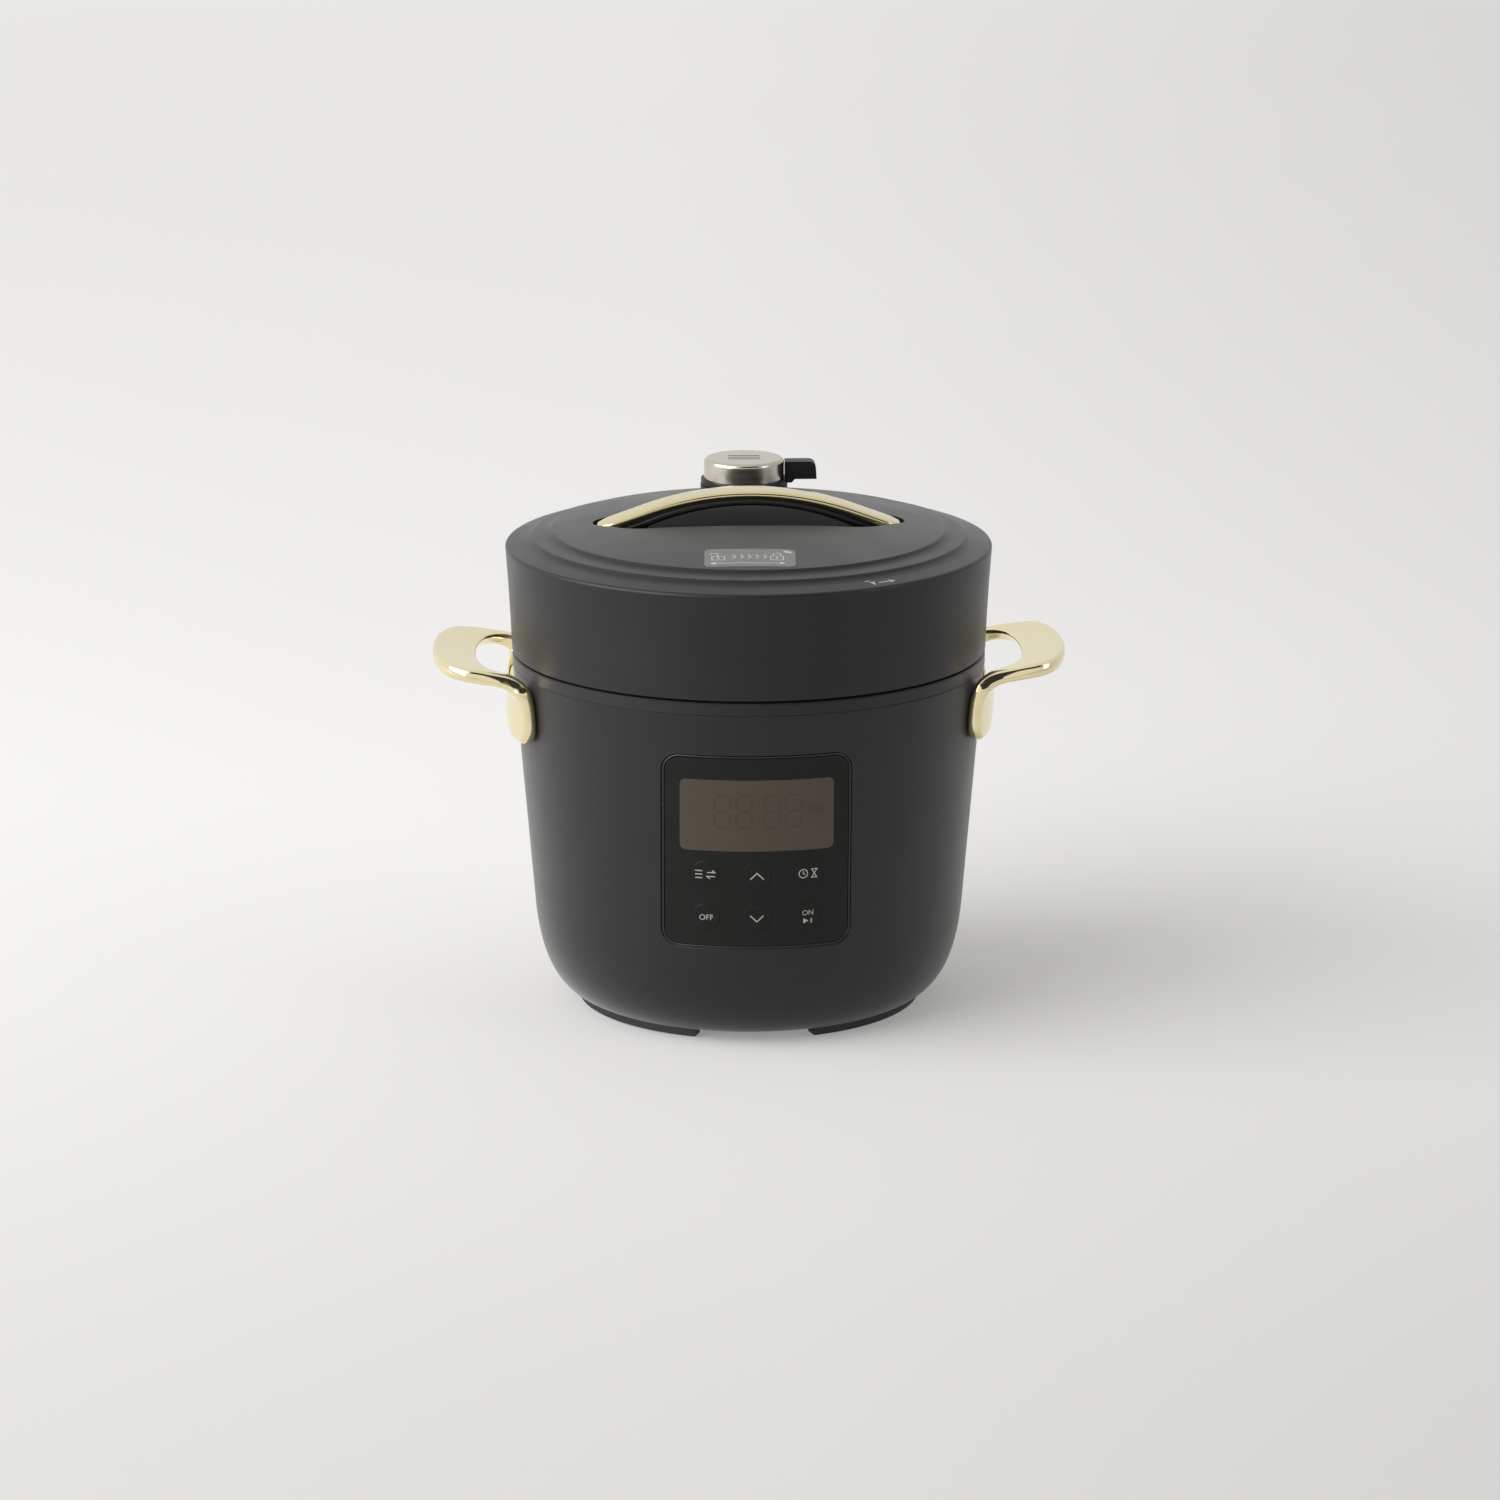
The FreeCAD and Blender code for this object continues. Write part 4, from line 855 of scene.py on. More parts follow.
# ---------------------------------------------------------------- side handles
@dataclass
class SideHandle:
    """Cast loop handle: two tabs that lie on the wall, a bend and a broad flat grip."""

    low_z: float = 124.2
    tab_top_z: float = 140.0
    tab_degrees: float = 17.5
    tab_corner: float = 12.0
    inner_gap: float = 0.4
    outer_gap: float = 6.4
    # The bend of the side profile: how far out and how high its first control point lies,
    # then two points as radius and height. The tip closes the grip's straight part.
    inner_lift: Point2 = (0.7, 148.5)
    inner_bend: tuple[Point2, Point2] = ((107.0, 155.7), (115.5, 156.9))
    inner_tip: Point2 = (142.1, 161.6)
    outer_lift: Point2 = (0.5, 146.6)
    outer_bend: tuple[Point2, Point2] = ((113.6, 150.5), (120.0, 151.6))
    outer_tip: Point2 = (142.1, 155.0)
    # Both edges on the front tab: height, and distance from the tab's middle line. Then in
    # the bend: share of the side profile, and that distance as it is at the tab's top.
    outer_tab: tuple[Point2, ...] = ((124.2, -14.5), (132.0, -14.5), (140.0, -14.5))
    outer_turn: tuple[Point2, ...] = ((1.46, -13.9),)
    inner_tab: tuple[Point2, ...] = ((124.2, 14.5), (132.0, 14.5), (138.5, 14.0))
    inner_turn: tuple[Point2, ...] = ((1.16, 8.5), (1.47, -2.5))
    # Both edges seen from above, from the end of the bend to the middle of the grip.
    outer_plan: tuple[Point2, ...] = ((103.4, -44.7), (109.3, -43.5), (116.5, -42.9),
                                      (125.0, -41.9), (132.6, -37.0), (138.0, -22.5),
                                      (140.05, 0.0))
    inner_plan: tuple[Point2, ...] = ((107.0, -36.7), (112.2, -35.2), (117.0, -29.6),
                                      (119.6, -22.5), (121.4, -12.0), (121.9, 0.0))
    top_r: float = 1.9
    under_r: float = 2.9
    stations: int = 170
    corner_steps: int = 6

    def rails(self, share: float) -> tuple[Vector, Vector]:
        """Points of the side profile, inner or top face first, then outer or under face.

        Args:
            share: 0 at the tab's lower end, 1 at the start of the bend, 2 at its end and
                3 beyond the tip of the grip.

        Returns:
            The two (radius, height) points in millimetres.
        """
        out = []
        for gap, lift, bend, tip in (
                (self.inner_gap, self.inner_lift, self.inner_bend, self.inner_tip),
                (self.outer_gap, self.outer_lift, self.outer_bend, self.outer_tip)):
            start, end = (Vector((wall_radius(z) + gap, z))
                          for z in (self.low_z, self.tab_top_z))
            curve = [end, Vector((end.x + lift[0], lift[1]))] + [Vector(p) for p in bend]
            if share <= 1:
                out.append(start.lerp(end, share))
            elif share <= 2:
                u = share - 1
                weights = ((1 - u) ** 3, 3 * u * (1 - u) ** 2, 3 * u * u * (1 - u), u ** 3)
                out.append(sum((p * w for p, w in zip(curve, weights)), Vector((0.0, 0.0))))
            else:
                out.append(curve[3].lerp(Vector(tip), share - 2))
        return out[0], out[1]

    def share_at(self, radius: float) -> float:
        """Finds where the side profile's middle reaches a radius.

        Args:
            radius: in millimetres, beyond the wall.

        Returns:
            The share of the profile, as rails() takes it.
        """
        low, high = 1.0, 3.0
        for _ in range(30):
            mid = (low + high) / 2
            a, b = self.rails(mid)
            if (a.x + b.x) / 2 < radius:
                low = mid
            else:
                high = mid
        return low

    def on_tab(self, z: float, across: float) -> Point2:
        """Finds a point of the front tab.

        Args:
            z: height in millimetres.
            across: millimetres from the tab's middle line.

        Returns:
            The profile share and the azimuth in degrees.
        """
        share = (z - self.low_z) / (self.tab_top_z - self.low_z)
        a, b = self.rails(share)
        return share, -self.tab_degrees + math.degrees(math.asin(across / ((a.x + b.x) / 2)))

    def on_plan(self, x: float, y: float) -> Point2:
        """Profile share and azimuth in degrees of a point seen from above."""
        return self.share_at(math.hypot(x, y)), math.degrees(math.atan2(y, x))

    def edges(self) -> tuple[list[Point2], list[Point2]]:
        """Matching points of the outer and the inner edge, from the front tab to the tip.

        Returns:
            Both lists, each point as profile share and azimuth in degrees.
        """
        rims = []
        for tab, turn, plan in ((self.outer_tab, self.outer_turn, self.outer_plan),
                                (self.inner_tab, self.inner_turn, self.inner_plan)):
            rim = [self.on_tab(z, across) for z, across in tab]
            rim += [(share, self.on_tab(self.tab_top_z, across)[1]) for share, across in turn]
            rim += [self.on_plan(x, y) for x, y in plan]
            # The rear half mirrors the front half.
            rim += [(share, -degrees) for share, degrees in reversed(rim[:-1])]
            rims.append(rim)
        return rims[0], rims[1]

    def surface_point(self, share: float, degrees: float, depth: float) -> Vector:
        """Finds a point of the band.

        Args:
            share: where along the side profile, as rails() takes it.
            degrees: azimuth.
            depth: 0 on the top face, 1 on the under face.

        Returns:
            The point in metres.
        """
        a, b = self.rails(share)
        point = a.lerp(b, depth)
        angle = math.radians(degrees)
        return Vector((point.x * math.cos(angle), point.x * math.sin(angle), point.y)) * MM

    def sections(self) -> list[list[Vector]]:
        """Rings round the band at each station, from the front tab's end to the tip.

        Returns:
            The rings of points in metres.
        """
        outer, inner = self.edges()
        rims = [[self.surface_point(share, degrees, 0.5) for share, degrees in rim]
                for rim in (outer, inner)]
        knots = [0.0]
        for i in range(len(outer) - 1):
            steps = [(rim[i + 1] - rim[i]).length for rim in rims]
            knots.append(knots[-1] + sum(steps) / 2 / MM)
        half = knots[len(knots) // 2]
        rings = []
        for k in range(self.stations + 1):
            # Stations crowd towards the tab's rounded end.
            t = half * (k / self.stations) ** 1.5
            edge_a = through(knots, outer, t)
            edge_b = through(knots, inner, t)
            a = self.surface_point(edge_a[0], edge_a[1], 0.5)
            b = self.surface_point(edge_b[0], edge_b[1], 0.5)
            width = (b - a).length / MM
            top, under = self.rails((edge_a[0] + edge_b[0]) / 2)
            thick = (top - under).length
            trim, low, high = 0.0, 0.0, thick
            if t < self.tab_corner:
                rest = self.tab_corner - t
                trim = self.tab_corner - math.sqrt(self.tab_corner ** 2 - rest ** 2)
            if t < self.top_r:
                low = self.top_r - math.sqrt(self.top_r ** 2 - (self.top_r - t) ** 2)
            if t < self.under_r:
                high -= self.under_r - math.sqrt(self.under_r ** 2 - (self.under_r - t) ** 2)
            flat = rounded_section(width - 2 * trim, low, high, self.top_r, self.under_r,
                                   self.corner_steps)
            ring = []
            for across, depth in flat:
                w = (across + trim) / width
                here = [p + (q - p) * w for p, q in zip(edge_a, edge_b)]
                ring.append(self.surface_point(here[0], here[1], depth / thick))
            rings.append(ring)
        return rings

    def mesh(self) -> bmesh.types.BMesh:
        """Builds the right-hand handle as one closed band.

        Returns:
            The closed band.
        """
        rings = self.sections()
        count = len(rings[0])
        rows = len(rings) - 1

        def place(u: float, v: float) -> Vector:
            """Reads the rings in place of the flat grid."""
            return rings[round(v * rows)][round(u * count) % count]

        bm = bent_grid(count, rows, place)
        bmesh.ops.remove_doubles(bm, verts=bm.verts[:], dist=0.0005 * MM)
        bmesh.ops.holes_fill(bm, edges=[e for e in bm.edges if e.is_boundary and
                                        all(v.co.y < -1 * MM for v in e.verts)], sides=0)
        bmesh.ops.mirror(bm, geom=bm.verts[:] + bm.edges[:] + bm.faces[:], axis="Y",
                         matrix=Matrix.Identity(4), merge_dist=0.01 * MM)
        return closed_up(bm, 0.0005)

    def build(self, paints: Paints) -> None:
        """Makes both handles and puts them in place of the plain ones.

        Args:
            paints: hands out the materials.
        """
        for name, node, sign in (("handle_loop_right", "right_handle", 1),
                                 ("handle_loop_left", "left_handle", -1)):
            bm = self.mesh()
            if sign < 0:
                bmesh.ops.scale(bm, verts=bm.verts[:], vec=(-1, 1, 1))
                bmesh.ops.recalc_face_normals(bm, faces=bm.faces[:])
            fitted(name, bm, paints.of(GOLD), "base", "gold", node)


# ---------------------------------------------------------------- lid handle
@dataclass
class LidHandle:
    """Arched metal strap over a moulded grip."""

    crown_z: float = 230.3
    arc_end: Point2 = (45.4, 222.6)
    tip: Point2 = (67.6, 214.6)
    half_width: float = 8.0
    strap_under: tuple[float, float, float] = (3.1, 4.7, 4.6)
    core_under: tuple[float, float, float] = (6.4, 8.2, 5.1)
    edge_r: float = 1.4
    under_r: float = 2.3
    core_half_width: float = 7.6
    core_edge_r: float = 1.1
    core_short: float = 0.8
    strap_crown: float = 0.25
    foot_x: float = 52.0
    foot_half: Point2 = (7.6, 7.0)
    foot_height: float = 8.0
    foot_r: float = 1.2
    foot_clear: float = 0.02
    least_half_width: float = 0.02
    stations: int = 180
    corner_steps: int = 5

    def height(self, x: float, drops: Sequence[float]) -> float:
        """Height of an arch at x, where drops lower its crown, arc end and tip.

        Args:
            x: millimetres from the middle.
            drops: how far its crown, its arc end and its tip are lowered.

        Returns:
            The height in millimetres.
        """
        crown = self.crown_z - drops[0]
        side_x, side_z = self.arc_end[0], self.arc_end[1] - drops[1]
        tip_x, tip_z = self.tip[0], self.tip[1] - drops[2]
        x = abs(x)
        if x > side_x:
            return side_z + (tip_z - side_z) * (x - side_x) / (tip_x - side_x)
        sag = crown - side_z
        radius = (side_x ** 2 + sag ** 2) / (2 * sag)
        return crown - radius + math.sqrt(radius ** 2 - x * x)

    def bar(self, top: Sequence[float], under: Sequence[float], reach: float,
            half_width: float, edge_r: float, under_r: float,
            crown: float) -> bmesh.types.BMesh:
        """Sweeps a rounded section along the arch, with half-round ends in plan.

        Args:
            top: drops of the upper arch.
            under: drops of the lower arch.
            reach: x of the tips.
            half_width: half the width in plan.
            edge_r: radius of the upper long edges.
            under_r: radius of the lower long edges.
            crown: rise of the middle of the top face over its edges.

        Returns:
            The closed bar.
        """
        rings = []
        for k in range(self.stations + 1):
            # Cosine spacing crowds the stations towards the round ends.
            x = -reach * math.cos(math.pi * k / self.stations)
            past = max(0.0, abs(x) - (reach - half_width))
            wide = max(math.sqrt(max(0.0, half_width ** 2 - past ** 2)),
                       self.least_half_width)
            high, low = self.height(x, top), self.height(x, under)
            edge = max(0.0, reach - abs(x))
            inset = edge_r - math.sqrt(max(0.0, edge_r ** 2 - max(0.0, edge_r - edge) ** 2))
            flat = rounded_section(2 * wide, low + inset, high - inset, under_r, edge_r,
                                   self.corner_steps)
            ring = []
            for across, z in flat:
                y = across - wide
                lift = crown * (1 - (y / half_width) ** 2) * (z - low) / (high - low)
                ring.append(Vector((x, y, z + lift - crown)) * MM)
            rings.append(ring)
        count = len(rings[0])
        bm = bent_grid(count, self.stations,
                       lambda u, v: rings[round(v * self.stations)][round(u * count) % count])
        bmesh.ops.remove_doubles(bm, verts=bm.verts[:], dist=0.0005 * MM)
        bmesh.ops.holes_fill(bm, edges=[e for e in bm.edges if e.is_boundary], sides=0)
        return closed_up(bm, 0.0005)

    def core(self) -> bmesh.types.BMesh:
        """Moulded grip: a bar under the strap and a foot at each end of it.

        Returns:
            The bar and its feet.
        """
        parts = [self.bar(self.strap_under, self.core_under, self.tip[0] - self.core_short,
                          self.core_half_width, self.core_edge_r, self.core_edge_r, 0.0)]
        low = RECESS_FLOOR_Z + self.foot_clear
        for side in (-1, 1):
            middle = side * self.foot_x
            foot = soft_box((middle - self.foot_half[0], -self.foot_half[1], low),
                            (middle + self.foot_half[0], self.foot_half[1],
                             low + self.foot_height), self.foot_r)
            for vert in foot.verts:
                # The foot's upper half reaches up into the arched bar.
                if vert.co.z > (low + self.foot_height / 2) * MM:
                    vert.co.z = self.height(vert.co.x / MM, self.core_under) * MM
                    vert.co.z += self.core_edge_r * MM / 2
            parts.append(foot)
        return joined(parts)

    def build(self, paints: Paints) -> None:
        """Makes the strap and the grip in place of the plain ones.

        Args:
            paints: hands out the materials.
        """
        strap = self.bar((0, 0, 0), self.strap_under, self.tip[0], self.half_width,
                         self.edge_r, self.under_r, self.strap_crown)
        fitted("lid_strap", strap, paints.of(STRAP_GOLD), "lid", "gold", "lid_handle_strap")
        fitted("lid_grip", self.core(), paints.of(CORE_BLACK), "lid", "handle_core",
               "lid_handle_core")


# ---------------------------------------------------------------- printed marks
def inked(bm: bmesh.types.BMesh, place: Place3, ink: float) -> bmesh.types.BMesh:
    """Gives flat signs the thickness of a coat of ink and lays them on a surface.

    Args:
        bm: the flat signs, in millimetres.
        place: gives the point in metres for x, y and the height above the surface.
        ink: height of the ink's face above the surface in millimetres.

    Returns:
        The same mesh, as closed thin plates.
    """
    bmesh.ops.remove_doubles(bm, verts=bm.verts[:], dist=0.002)
    bmesh.ops.solidify(bm, geom=bm.faces[:], thickness=INK_DEPTH)
    face = max(vert.co.z for vert in bm.verts)
    for vert in bm.verts:
        vert.co = place(vert.co.x, vert.co.y, ink + vert.co.z - face)
    bmesh.ops.recalc_face_normals(bm, faces=bm.faces[:])
    return bm


@dataclass
class Marks:
    """Screen-printed signs: strokes of ink laid on a surface."""

    stroke: float = 0.55
    ink: float = 0.02
    lines: list[list[Point2]] = field(default_factory=list)
    fills: list[list[Point2]] = field(default_factory=list)
    # A mitre may reach out by no more than one over this.
    mitre_limit: float = 0.35
    cuts: int = 4

    def arc(self, x: float, y: float, radius: float, start: float, end: float,
            steps: int = 16) -> list[Point2]:
        """Points of an arc.

        Args:
            x: its centre, to the right.
            y: its centre, upwards.
            radius: its radius.
            start: first angle in degrees.
            end: last angle in degrees.
            steps: its straight parts.

        Returns:
            The points in order.
        """
        angles = [math.radians(start + (end - start) * k / steps) for k in range(steps + 1)]
        return [(x + radius * math.cos(a), y + radius * math.sin(a)) for a in angles]

    def ribbon(self, points: Sequence[Point2]) -> tuple[list[Point2], list[Point2]]:
        """Left and right side of a stroke with mitred corners.

        Args:
            points: middle line of the stroke.

        Returns:
            Its left side and its right side.
        """
        left, right = [], []
        for i, point in enumerate(points):
            before = Vector(points[max(0, i - 1)])
            after = Vector(points[min(len(points) - 1, i + 1)])
            here = Vector(point)
            a = (here - before).normalized() if i else (after - here).normalized()
            b = (after - here).normalized() if i < len(points) - 1 else a
            way = (a + b).normalized()
            side = Vector((-way.y, way.x))
            reach = self.stroke / 2 / max(self.mitre_limit, way.dot(a))
            left.append(tuple(here + side * reach))
            right.append(tuple(here - side * reach))
        return left, right

    def mesh(self, place: Place3, detail: float = 1.5) -> bmesh.types.BMesh:
        """Lays the marks on a surface.

        Args:
            place: gives the point in metres for x, y and the height above the surface.
            detail: longest edge of a mark in millimetres, so that it follows a curve.

        Returns:
            The marks as thin plates.
        """
        bm = bmesh.new()
        for points in self.lines:
            left, right = self.ribbon(points)
            rows = [[bm.verts.new((x, y, 0)) for x, y in side] for side in (left, right)]
            for i in range(len(points) - 1):
                bm.faces.new((rows[0][i], rows[1][i], rows[1][i + 1], rows[0][i + 1]))
        for outline in self.fills:
            bm.faces.new([bm.verts.new((x, y, 0)) for x, y in outline])
        long_edges = [e for e in bm.edges if e.calc_length() > detail]
        if long_edges:
            bmesh.ops.subdivide_edges(bm, edges=long_edges, cuts=self.cuts,
                                      use_grid_fill=True)
        bmesh.ops.recalc_face_normals(bm, faces=bm.faces[:])
        down = [f for f in bm.faces if f.normal.z < 0]
        bmesh.ops.reverse_faces(bm, faces=down)
        return inked(bm, place, self.ink)


def lettering(text: str, height: float) -> bmesh.types.BMesh:
    """Plain capitals or numbers as flat faces, centred, height millimetres tall.

    Args:
        text: what they say.
        height: height of a capital in millimetres.

    Returns:
        The flat faces, in millimetres.
    """
    curve = bpy.data.curves.new("letters", "FONT")
    curve.body = text
    curve.align_x = "CENTER"
    curve.align_y = "CENTER"
    curve.size = height / CAPITAL_SHARE
    holder = bpy.data.objects.new("letters", curve)
    bpy.context.scene.collection.objects.link(holder)
    bpy.context.view_layer.update()
    mesh = bpy.data.meshes.new_from_object(
        holder.evaluated_get(bpy.context.evaluated_depsgraph_get()))
    bm = bmesh.new()
    bm.from_mesh(mesh)
    bpy.data.objects.remove(holder)
    bpy.data.curves.remove(curve)
    bpy.data.meshes.remove(mesh)
    return bm


def laid_text(text: str, height: float, centre: Point2, place: Place3,
              ink: float) -> bmesh.types.BMesh:
    """Plain capitals or numbers laid on a surface.

    Args:
        text: the capitals or numbers.
        height: height of a capital in millimetres.
        centre: middle of the word in the surface's own millimetres.
        place: gives the point in metres for x, y and the height above the surface.
        ink: height above the surface in millimetres.

    Returns:
        The word as thin plates.
    """
    bm = lettering(text, height)
    bmesh.ops.translate(bm, verts=bm.verts[:], vec=(*centre, 0.0))
    return inked(bm, place, ink)


# ---------------------------------------------------------------- seams of the body
@dataclass
class BodySeams:
    """Near-black rings in the two joints round the body, painted shade so that they read as
    dark lines.
    """

    steps: int = 256
    # Painted shade: a near-black ring under the lid's edge, and another in the joint under the
    # trim ring.
    lid_gap_shade: tuple[Point2, ...] = ((99.9, 158.33), (104.1, 158.33), (104.1, 158.5),
                                    (99.9, 158.5), (99.9, 158.33))
    ring_seam_shade: tuple[Point2, ...] = ((102.4, 152.73), (104.15, 152.73), (104.15, 153.07),
                                       (102.4, 153.07), (102.4, 152.73))

    def build(self, paints: Paints) -> None:
        """Makes the painted-shade rings in the gap under the lid and in the joint under the
        trim ring.

        Args:
            paints: hands out the materials.
        """
        for name, profile in (("lid_gap_shade", self.lid_gap_shade), ("ring_seam_shade", self.ring_seam_shade)):
            fitted(name, spun(profile, self.steps), paints.of(SEAM_SHADE_BLACK), "base",
                   "foot_rubber")


# ---------------------------------------------------------------- control panel
@dataclass(frozen=True)
class WallSpot:
    """Place on the front wall that small things are laid round, by their own millimetres."""

    degrees: float
    z: float

    def place(self, u: float, v: float, w: float) -> Vector:
        """Finds a point beside the spot.

        Args:
            u: millimetres to the right.
            v: millimetres upwards.
            w: millimetres outside the wall.

        Returns:
            The point in metres.
        """
        z = self.z + v
        radius = wall_radius(z) + w
        angle = math.radians(self.degrees) + u / wall_radius(self.z)
        return Vector((radius * math.sin(angle), -radius * math.cos(angle), z)) * MM


@dataclass
class ControlPanel:
    """Bead round the panel, six domed film keys with their signs, and the idle display."""

    half_x: float = 40.12
    low_z: float = 48.03
    top_z: float = 134.47
    corner_r: float = 6.97
    bead_r: float = 0.47
    bead_sunk: float = 0.50
    corner_steps: int = 12
    side_steps: int = 20
    bead_steps: int = 12
    key_profile: tuple[Point2, ...] = ((0.0, 0.02), (4.6, 0.0), (5.6, -0.04), (6.12, -0.09),
                                       (6.27, -0.2), (6.27, -0.8), (0.0, -0.8))
    key_steps: int = 72
    key_edge_r: float = 0.1
    key_columns: tuple[float, float, float] = (-13.1, 0.0, 13.1)
    key_rows: tuple[float, float] = (81.2, 61.6)
    key_names: tuple[tuple[str, str, str], ...] = (("key_menu", "key_up", "key_timer"),
                                                   ("key_off", "key_down", "key_start"))
    ink: float = 0.05
    digit_height: float = 14.4
    digit_width: float = 6.6
    digit_low_z: float = 102.9
    digit_places: tuple[float, ...] = (-18.2, -8.9, 3.2, 12.4)
    segment_width: float = 1.25
    # The segments lie behind the window's face, so they show only faintly.
    segment_proud: float = -0.085
    digit_clear: float = 0.85
    colon_x: float = 0.35
    colon_half: float = 0.6
    bar_x: float = 22.6
    bar_step: float = 1.9
    bar_count: int = 4
    bar_z: Point2 = (108.6, 111.4)

    def outline(self) -> list[tuple[Point2, Point2]]:
        """Points of the bead's middle line with their outward directions.

        Returns:
            Each point with its direction.
        """
        x, r = self.half_x - self.corner_r, self.corner_r
        low, high = self.low_z + r, self.top_z - r
        corners = [(x, low, -90.0), (x, high, 0.0), (-x, high, 90.0), (-x, low, 180.0)]
        path: list[tuple[Point2, Point2]] = []
        for cx, cz, start in corners:
            arc = []
            for k in range(self.corner_steps + 1):
                angle = math.radians(start + 90.0 * k / self.corner_steps)
                out = (math.cos(angle), math.sin(angle))
                arc.append(((cx + r * out[0], cz + r * out[1]), out))
            if path:
                path += self.straight(path[-1], arc[0])
            path += arc
        return path + self.straight(path[-1], path[0])

    def straight(self, a: tuple[Point2, Point2],
                 b: tuple[Point2, Point2]) -> list[tuple[Point2, Point2]]:
        """Points between two corners, so that the bead follows the curved wall.

        Args:
            a: last point of one corner, with its direction.
            b: first point of the next corner.

        Returns:
            The points between them.
        """
        steps = self.side_steps
        return [((a[0][0] + (b[0][0] - a[0][0]) * k / steps,
                  a[0][1] + (b[0][1] - a[0][1]) * k / steps), a[1]) for k in range(1, steps)]

    def bead(self) -> bmesh.types.BMesh:
        """Sweeps the round bead along the outline.

        Returns:
            The closed bead.
        """
        path = self.outline()
        count = len(path)

        def place(u: float, v: float) -> Vector:
            """Point of the bead for shares of the way along and round it.

            Args:
                u: share of the way round the outline.
                v: share of the turn round the bead.

            Returns:
                The point in metres.
            """
            (x, z), (out_x, out_z) = path[round(u * count) % count]
            angle = FULL_TURN * v
            off = self.bead_r * math.cos(angle)
            return on_wall(x + out_x * off, z + out_z * off,
                           -self.bead_sunk + self.bead_r * math.sin(angle))

        return closed_up(bent_grid(count, self.bead_steps, place), 0.001)

    def key_cap(self, spot: WallSpot) -> bmesh.types.BMesh:
        """Domed key that follows the wall.

        Args:
            spot: where the key sits.

        Returns:
            The key in its place.
        """
        bm = spun(self.key_profile, self.key_steps, rounding={4: self.key_edge_r},
                  segments=2)
        for vert in bm.verts:
            vert.co = spot.place(vert.co.x / MM, vert.co.y / MM, vert.co.z / MM)
        return bm

    def signs(self) -> dict[str, tuple[Marks, tuple[tuple[str, float, Point2], ...]]]:
        """Sign of each key: strokes, and words with their height and place.

        Returns:
            For each key its strokes and its words.
        """
        menu, timer = Marks(0.45), Marks(0.45)
        menu.lines = [[(-4.3, 1.6), (-1.1, 1.6)], [(-4.3, 0.0), (-1.1, 0.0)],
                      [(-4.3, -1.6), (-1.1, -1.6)],
                      [(0.9, 0.9), (4.4, 0.9), (3.2, 2.0)], [(4.4, -0.9), (0.9, -0.9),
                                                             (2.1, -2.0)]]
        timer.lines = [timer.arc(-2.4, 0.0, 1.9, 0.0, 360.0, 24),
                       [(-2.4, 1.1), (-2.4, 0.0), (-1.5, -0.5)],
                       [(1.0, 1.9), (3.9, 1.9)], [(1.0, -1.9), (3.9, -1.9)],
                       [(1.3, 1.9), (3.6, -1.9)], [(3.6, 1.9), (1.3, -1.9)]]
        up, down = Marks(0.52), Marks(0.52)
        up.lines = [[(-2.9, -1.9), (0.0, 0.9), (2.9, -1.9)]]
        down.lines = [[(-2.9, 1.1), (0.0, -1.7), (2.9, 1.1)]]
        start = Marks(0.55)
        start.fills = [[(-1.9, -3.3), (0.5, -2.1), (-1.9, -0.9)]]
        start.lines = [[(1.7, -3.2), (1.7, -1.0)]]
        return {"key_menu": (menu, ()), "key_up": (up, ()), "key_timer": (timer, ()),
                "key_off": (Marks(), (("OFF", 2.5, (0.2, -0.2)),)), "key_down": (down, ()),
                "key_start": (start, (("ON", 2.3, (0.1, 1.5)),))}

    def keys(self, paints: Paints) -> None:
        """Makes the six keys and prints their signs.

        Args:
            paints: hands out the materials.
        """
        signs = self.signs()
        for names, z in zip(self.key_names, self.key_rows):
            for name, column in zip(names, self.key_columns):
                spot = WallSpot(column, z)
                fitted(name.replace("key", "keycap"), self.key_cap(spot),
                       paints.of(PANEL_FILM), name, "key_black", name)
                marks, words = signs[name]
                parts = [laid_text(word, height, centre, spot.place, self.ink)
                         for word, height, centre in words]
                if marks.lines or marks.fills:
                    parts.append(marks.mesh(spot.place))
                fitted(name.replace("key", "sign"), joined(parts), paints.of(PRINT_INK),
                       name, "key_black")

    def digits(self) -> bmesh.types.BMesh:
        """Idle segments that show faintly through the smoked window.

        Returns:
            The segments as thin plates.
        """
        marks = Marks(self.segment_width, self.segment_proud)
        width, half = self.digit_width, self.digit_height / 2
        clear = self.digit_clear
        for x in self.digit_places:
            for level in range(3):
                z = self.digit_low_z + half * level
                marks.lines.append([(x + clear, z), (x + width - clear, z)])
            for level in range(2):
                low = self.digit_low_z + half * level
                for side in (x, x + width):
                    marks.lines.append([(side, low + clear), (side, low + half - clear)])
        for share in (0.55, 1.45):
            z = self.digit_low_z + half * share
            marks.lines.append([(self.colon_x, z - self.colon_half),
                                (self.colon_x, z + self.colon_half)])
        for k in range(self.bar_count):
            x = self.bar_x + k * self.bar_step
            marks.lines.append([(x, self.bar_z[0]), (x, self.bar_z[1])])
        return marks.mesh(on_wall, 1.2)

    def build(self, paints: Paints) -> None:
        """Makes the whole panel.

        Args:
            paints: hands out the materials.
        """
        fitted("panel_bead", self.bead(), paints.of(PANEL_RIM), "base", "panel_rim",
               "panel_frame")
        self.keys(paints)
        fitted("idle_segments", self.digits(), paints.of(DIGIT_FILM), "base",
               "window_smoke")


